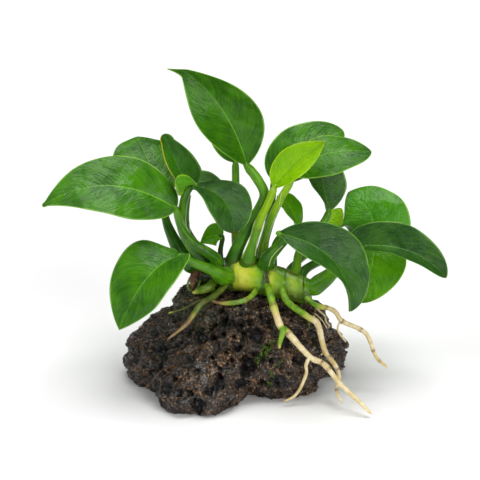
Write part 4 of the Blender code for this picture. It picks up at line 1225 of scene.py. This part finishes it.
def make_rhizome(surface):
    """The creeping stem, ringed with leaf scars and settled on the stone."""
    route = smooth_route(RHIZOME, RHIZOME_RINGS)
    ends = RHIZOME_END_RINGS
    radii = rounded_end(spread(RHIZOME_RADII, RHIZOME_RINGS), ends)
    radii[:ends] = radii[:ends] * np.sqrt(1 - (1 - (np.arange(ends) + 0.5) / ends) ** 2)
    stray, spacing = SCAR_WANDER

    def swell(share, angle, place):
        around = Vector((math.cos(angle), math.sin(angle), 0))
        return 1 + 0.05 * noise.noise(Vector((share * 14, 0, 0)) + around * 1.2)

    bm = tube(route, radii, RHIZOME_SIDES, {}, swell)
    layer = bm.verts.layers.float.new("scar")
    bm.verts.ensure_lookup_table()
    for index, heart in enumerate(route):
        for side in range(RHIZOME_SIDES):
            vert = bm.verts[index * RHIZOME_SIDES + side]
            out = (vert.co - heart).normalized()
            wander = stray * noise.noise(vert.co / spacing)
            marked = 0.0
            raised = 0.0
            for at, lean, height, brown in SCARS:
                away = (vert.co.x + wander - at - lean * out.z) / SCAR_WIDTH
                raised = max(raised, height * math.exp(-(away**2)))
                marked = max(marked, brown * math.exp(-((away - 0.5) ** 2)))
            vert[layer] = marked
            vert.co += out * raised
            vert.co.z -= STEM_SAG * max(0.0, -out.z) ** 0.7
    return finished("rhizome_stem", bm, [surface], "rhizome", "rhizome")


def evened(values, passes):
    """The values, each one drawn towards its neighbours so many times; the first and the last stay."""
    for _ in range(passes):
        middles = [(a + b * 2 + c) / 4 for a, b, c in zip(values, values[1:], values[2:])]
        values = [values[0], *middles, values[-1]]
    return values


def laid_on(route, radii, stone_tree):
    """The route, lifted along the stone's mean slope wherever a tube along it would sink into the stone."""
    for _ in range(3):
        slopes, lifts = [], []
        for place, radius in zip(route, radii):
            near, normal, _, away = stone_tree.find_nearest(place * MM)
            away /= MM
            if (place - near / MM).dot(normal) < 0 and away < DEEPEST_SUNK:
                away = -away
            slopes.append(normal)
            lifts.append(max(0.0, radius * ROOT_BEDDED - away))
        slopes = evened(slopes, SLOPE_PASSES)
        lifts = evened(lifts, LIFT_PASSES)
        route = [place + slope.normalized() * lift for place, slope, lift in zip(route, slopes, lifts)]
    return route


def make_root(root, surface, stone_tree):
    """One root lying on the stone, knotted at its joints."""
    radii = spread(root.radii, ROOT_RINGS)
    route = laid_on(smooth_route(root.route, ROOT_RINGS), radii, stone_tree)
    shares = np.linspace(0, 1, ROOT_RINGS)
    length = sum((b - a).length for a, b in zip(route, route[1:]))
    half_joint, swells = ROOT_JOINT
    joint = marked_at(root.nodes, shares, length, half_joint)
    green = marked_at(root.green_again, shares, length, GREEN_AGAIN)
    if root.green:
        green = np.maximum(green, np.clip((root.green - shares) * length / GREEN_FADES + 0.5, 0, 1))
    browned = shares * 0
    if root.browned:
        browned = BROWN_END * np.clip((shares - 1 + root.browned) * length / BROWN_FADES, 0, 1)
    radii = rounded_end(radii * (1 + swells * joint), 5)

    def swell(share, angle, place):
        return 1 + 0.12 * noise.noise(place / 1.8)

    marks = {"joint": joint, "green": green, "browned": browned, "olive": shares * 0 + root.olive}
    bm = tube(route, radii, ROOT_SIDES, marks, swell)
    return finished(root.name.replace("root", "rootlet"), bm, [surface], "root", root.name)


def make_fibre(index, points, radius, green, surface, stone_tree):
    """A fibre finer than the roots, lying on the stone."""
    radii = rounded_end([radius] * FIBRE_RINGS, 3)
    route = laid_on(smooth_route(points, FIBRE_RINGS), radii, stone_tree)
    values = {"joint": 0.0, "green": green, "browned": 0.0, "olive": FIBRE_OLIVE}
    marks = {name: [value] * FIBRE_RINGS for name, value in values.items()}

    def swell(share, angle, place):
        return 1 + 0.25 * noise.noise(place / 0.9)

    return finished(f"fibre_{index}", tube(route, radii, FIBRE_SIDES, marks, swell), [surface], "root")


def make_stub(surface):
    """The dead, knotted stub at the left end of the creeping stem."""
    route = smooth_route(OLD_STUB, OLD_STUB_RINGS)
    radii = rounded_end(spread(OLD_STUB_RADII, OLD_STUB_RINGS), 4)

    def swell(share, angle, place):
        return 1 + 0.22 * noise.noise(Vector((math.cos(angle) * 2, math.sin(angle) * 2, share * 3)))

    bm = tube(route, radii, OLD_STUB_SIDES, None, swell)
    return finished("dead_stub", bm, [surface], "dead_stalk", "old_stalk_stub")


def pressed_on(points, held, clear, passes):
    """A smooth route through the points, pressed on to the faces held and lying so far clear of them."""
    route = []
    for place in smooth_route(points, EDGE_RINGS):
        near, normal, _, _ = held.find_nearest(place * MM)
        route.append(near / MM + normal * clear)
    return evened(route, passes)


def make_sheath_edges(stalks, surface):
    """The pale membranous edges of the sheaths, lying on the stalks."""
    radius, sides, clear, passes = SHEATH_EDGE
    radii = rounded_end([radius] * EDGE_RINGS, 4)
    marks = {"tone": [SHEATH_EDGE_TONE] * EDGE_RINGS, "browned": [0.0] * EDGE_RINGS}
    for index, (name, points) in enumerate(SHEATH_EDGES):
        route = pressed_on(points, tree_of(stalks[name]), clear, passes)
        finished(f"sheath_edge_{index}", tube(route, radii, sides, marks), [surface], "stalk")


def make_rims(pieces, surface):
    """The ragged brown rims that old sheaths have left, pressed on to whatever they lie on."""
    held = tree_of(*pieces)
    radius, sides, clear, passes = BROWN_RIM
    radii = rounded_end([radius] * EDGE_RINGS, 5)

    def swell(share, angle, place):
        return 1 + 0.9 * noise.noise(place / 0.8)

    for index, points in enumerate(BROWN_RIMS):
        route = pressed_on(points, held, clear, passes)
        finished(f"brown_rim_{index}", tube(route, radii, sides, None, swell), [surface], "dead_stalk")


def add_strand(bm, foot, way, length, thickness):
    """One strand of moss: a bent three-sided spike that tapers to a point."""
    side = way.orthogonal().normalized()
    other = way.cross(side)
    rings = []
    for step, narrow in ((0.0, 1.0), (0.5, 0.8)):
        heart = foot + way * length * step
        turned = [side * math.cos(turn) + other * math.sin(turn) for turn in (0.0, 2.1, 4.2)]
        rings.append([bm.verts.new(heart + ray * thickness * narrow) for ray in turned])
    tip = bm.verts.new(foot + way * length + side * length * 0.35)
    bm.faces.new(reversed(rings[0]))
    for corner in range(3):
        after = (corner + 1) % 3
        bm.faces.new((rings[0][corner], rings[0][after], rings[1][after], rings[1][corner]))
        bm.faces.new((rings[1][corner], rings[1][after], tip))


def make_moss(stone, stone_tree, surface):
    """Moss: a streak of strands down the front of the stone and a low cover on its upper left shoulder."""
    chance = np.random.default_rng(MOSS_SEED)
    shortest, longest, thickness = MOSS_STRAND
    bm = bmesh.new()
    for first, last, count, stray in MOSS_STREAKS:
        for _ in range(count):
            aim = Vector(first).lerp(Vector(last), chance.random()) + Vector(chance.normal(0, stray, 3))
            near, normal, _, _ = stone_tree.find_nearest(aim * MM)
            way = (normal * MOSS_SPREAD + Vector(chance.normal(0, MOSS_SPREAD, 3))).normalized()
            length = chance.uniform(shortest, longest)
            add_strand(bm, near / MM - normal * MOSS_ROOTED, way, length, thickness)
    finished("moss_streak", bm, [surface], None)
    count, left, right, low, back = MOSS_TOP
    shortest, longest, thickness = MOSS_TOP_STRAND
    spacing, bare = MOSS_BARE
    grown = [vert for vert in stone.data.vertices
             if left < vert.co.x / MM < right and vert.co.z / MM > low and vert.co.y / MM < back]
    bm = bmesh.new()
    for pick in chance.integers(0, len(grown), count):
        place = grown[pick].co / MM
        if noise.noise(place / spacing) < bare:
            continue
        normal = Vector(grown[pick].normal)
        way = (normal + Vector(chance.normal(0, MOSS_TOP_SPREAD, 3))).normalized()
        add_strand(bm, place - normal * MOSS_ROOTED, way, chance.uniform(shortest, longest), thickness)
    finished("moss_cover", bm, [surface], None)


# Floor, lights and camera

CAMERA_TARGET = Vector((1.5, 0, 54))
CAMERA_ELEVATION = 20.0
CAMERA_DISTANCE = 466.7
CAMERA_LENS = 100.0
CAMERA_SENSOR = 36.0
CAMERA_NEAR = 0.01  # metres
FLOOR_SIZE = 12.0
WORLD_STRENGTH = 0.12

# Wide soft lights: where each stands, its strength and how wide it looks, in degrees
SUNS = {
    "overhead": ((0.08, 0.04, 0.99), 2.4, 42),
    "left": ((-0.7, -0.3, 0.6), 0.8, 35),
    "front_right": ((0.5, -0.75, 0.4), 1.4, 40),
}


def make_floor():
    """The pale ground that the stone stands on."""
    bm = bmesh.new()
    bmesh.ops.create_grid(bm, x_segments=8, y_segments=8, size=FLOOR_SIZE / 2)
    mesh = bpy.data.meshes.new("floor")
    bm.to_mesh(mesh)
    bm.free()
    mesh.materials.append(floor_material())
    floor = bpy.data.objects.new("floor", mesh)
    bpy.context.scene.collection.objects.link(floor)


def make_studio():
    """A dim white world, three soft lights and the camera of the photograph."""
    scene = bpy.context.scene
    world = bpy.data.worlds.new("studio")
    world.use_nodes = True
    backdrop = world.node_tree.nodes["Background"]
    backdrop.inputs["Color"].default_value = (1, 1, 1, 1)
    backdrop.inputs["Strength"].default_value = WORLD_STRENGTH
    scene.world = world
    for name, (place, strength, width) in SUNS.items():
        light = bpy.data.lights.new(name, "SUN")
        light.energy = strength
        light.angle = math.radians(width)
        sun = bpy.data.objects.new(name, light)
        scene.collection.objects.link(sun)
        sun.rotation_euler = (-Vector(place)).to_track_quat("-Z", "Y").to_euler()
    scene.view_settings.view_transform = "Standard"
    camera_data = bpy.data.cameras.new("camera")
    camera_data.lens = CAMERA_LENS
    camera_data.sensor_width = CAMERA_SENSOR
    camera_data.clip_start = CAMERA_NEAR
    camera = bpy.data.objects.new("camera", camera_data)
    scene.collection.objects.link(camera)
    rise = math.radians(CAMERA_ELEVATION)
    back = Vector((0, -math.cos(rise), math.sin(rise)))
    camera.location = (CAMERA_TARGET + back * CAMERA_DISTANCE) * MM
    camera.rotation_euler = (-back).to_track_quat("-Z", "Y").to_euler()
    scene.camera = camera


def main():
    """Makes every piece, the floor and the studio."""
    tops = {name: blade_material("blade_" + name, look) for name, look in LOOKS.items()}
    unders = {name: blade_under_material("blade_under_" + name, look) for name, look in LOOKS.items()}
    stalk_skin = stalk_material()
    root_skin = root_material()
    dead_skin = dead_material()
    stone = make_stone(stone_material())
    stone_tree = tree_of(stone)
    stem = make_rhizome(rhizome_material())
    stalks = {}
    for leaf in LEAVES:
        make_blade(leaf, tops[leaf.look], unders[leaf.look])
        stalks[leaf.name] = make_stalk(leaf, stalk_skin)
    make_sheath_edges(stalks, stalk_skin)
    for root in ROOTS:
        make_root(root, root_skin, stone_tree)
    for index, (points, radius, green) in enumerate(FIBRES):
        make_fibre(index, points, radius, green, root_skin, stone_tree)
    make_stub(dead_skin)
    lobe = sheet(ROLLED_LOBE, LOBE_THICKNESS, SHEET_STEPS, {"browned": 0.0})
    finished("rolled_lobe", lobe, [tops["painted_backlight"]], "leaf")
    husk = sheet(GREEN_HUSK, HUSK_THICKNESS, SHEET_STEPS, {"browned": 0.0, "tone": HUSK_TONE})
    finished("green_husk", husk, [stalk_skin], "stalk")
    make_rims([stem, *stalks.values()], dead_skin)
    make_moss(stone, stone_tree, moss_material())
    make_floor()
    make_studio()


main()
bpy.context.view_layer.update()
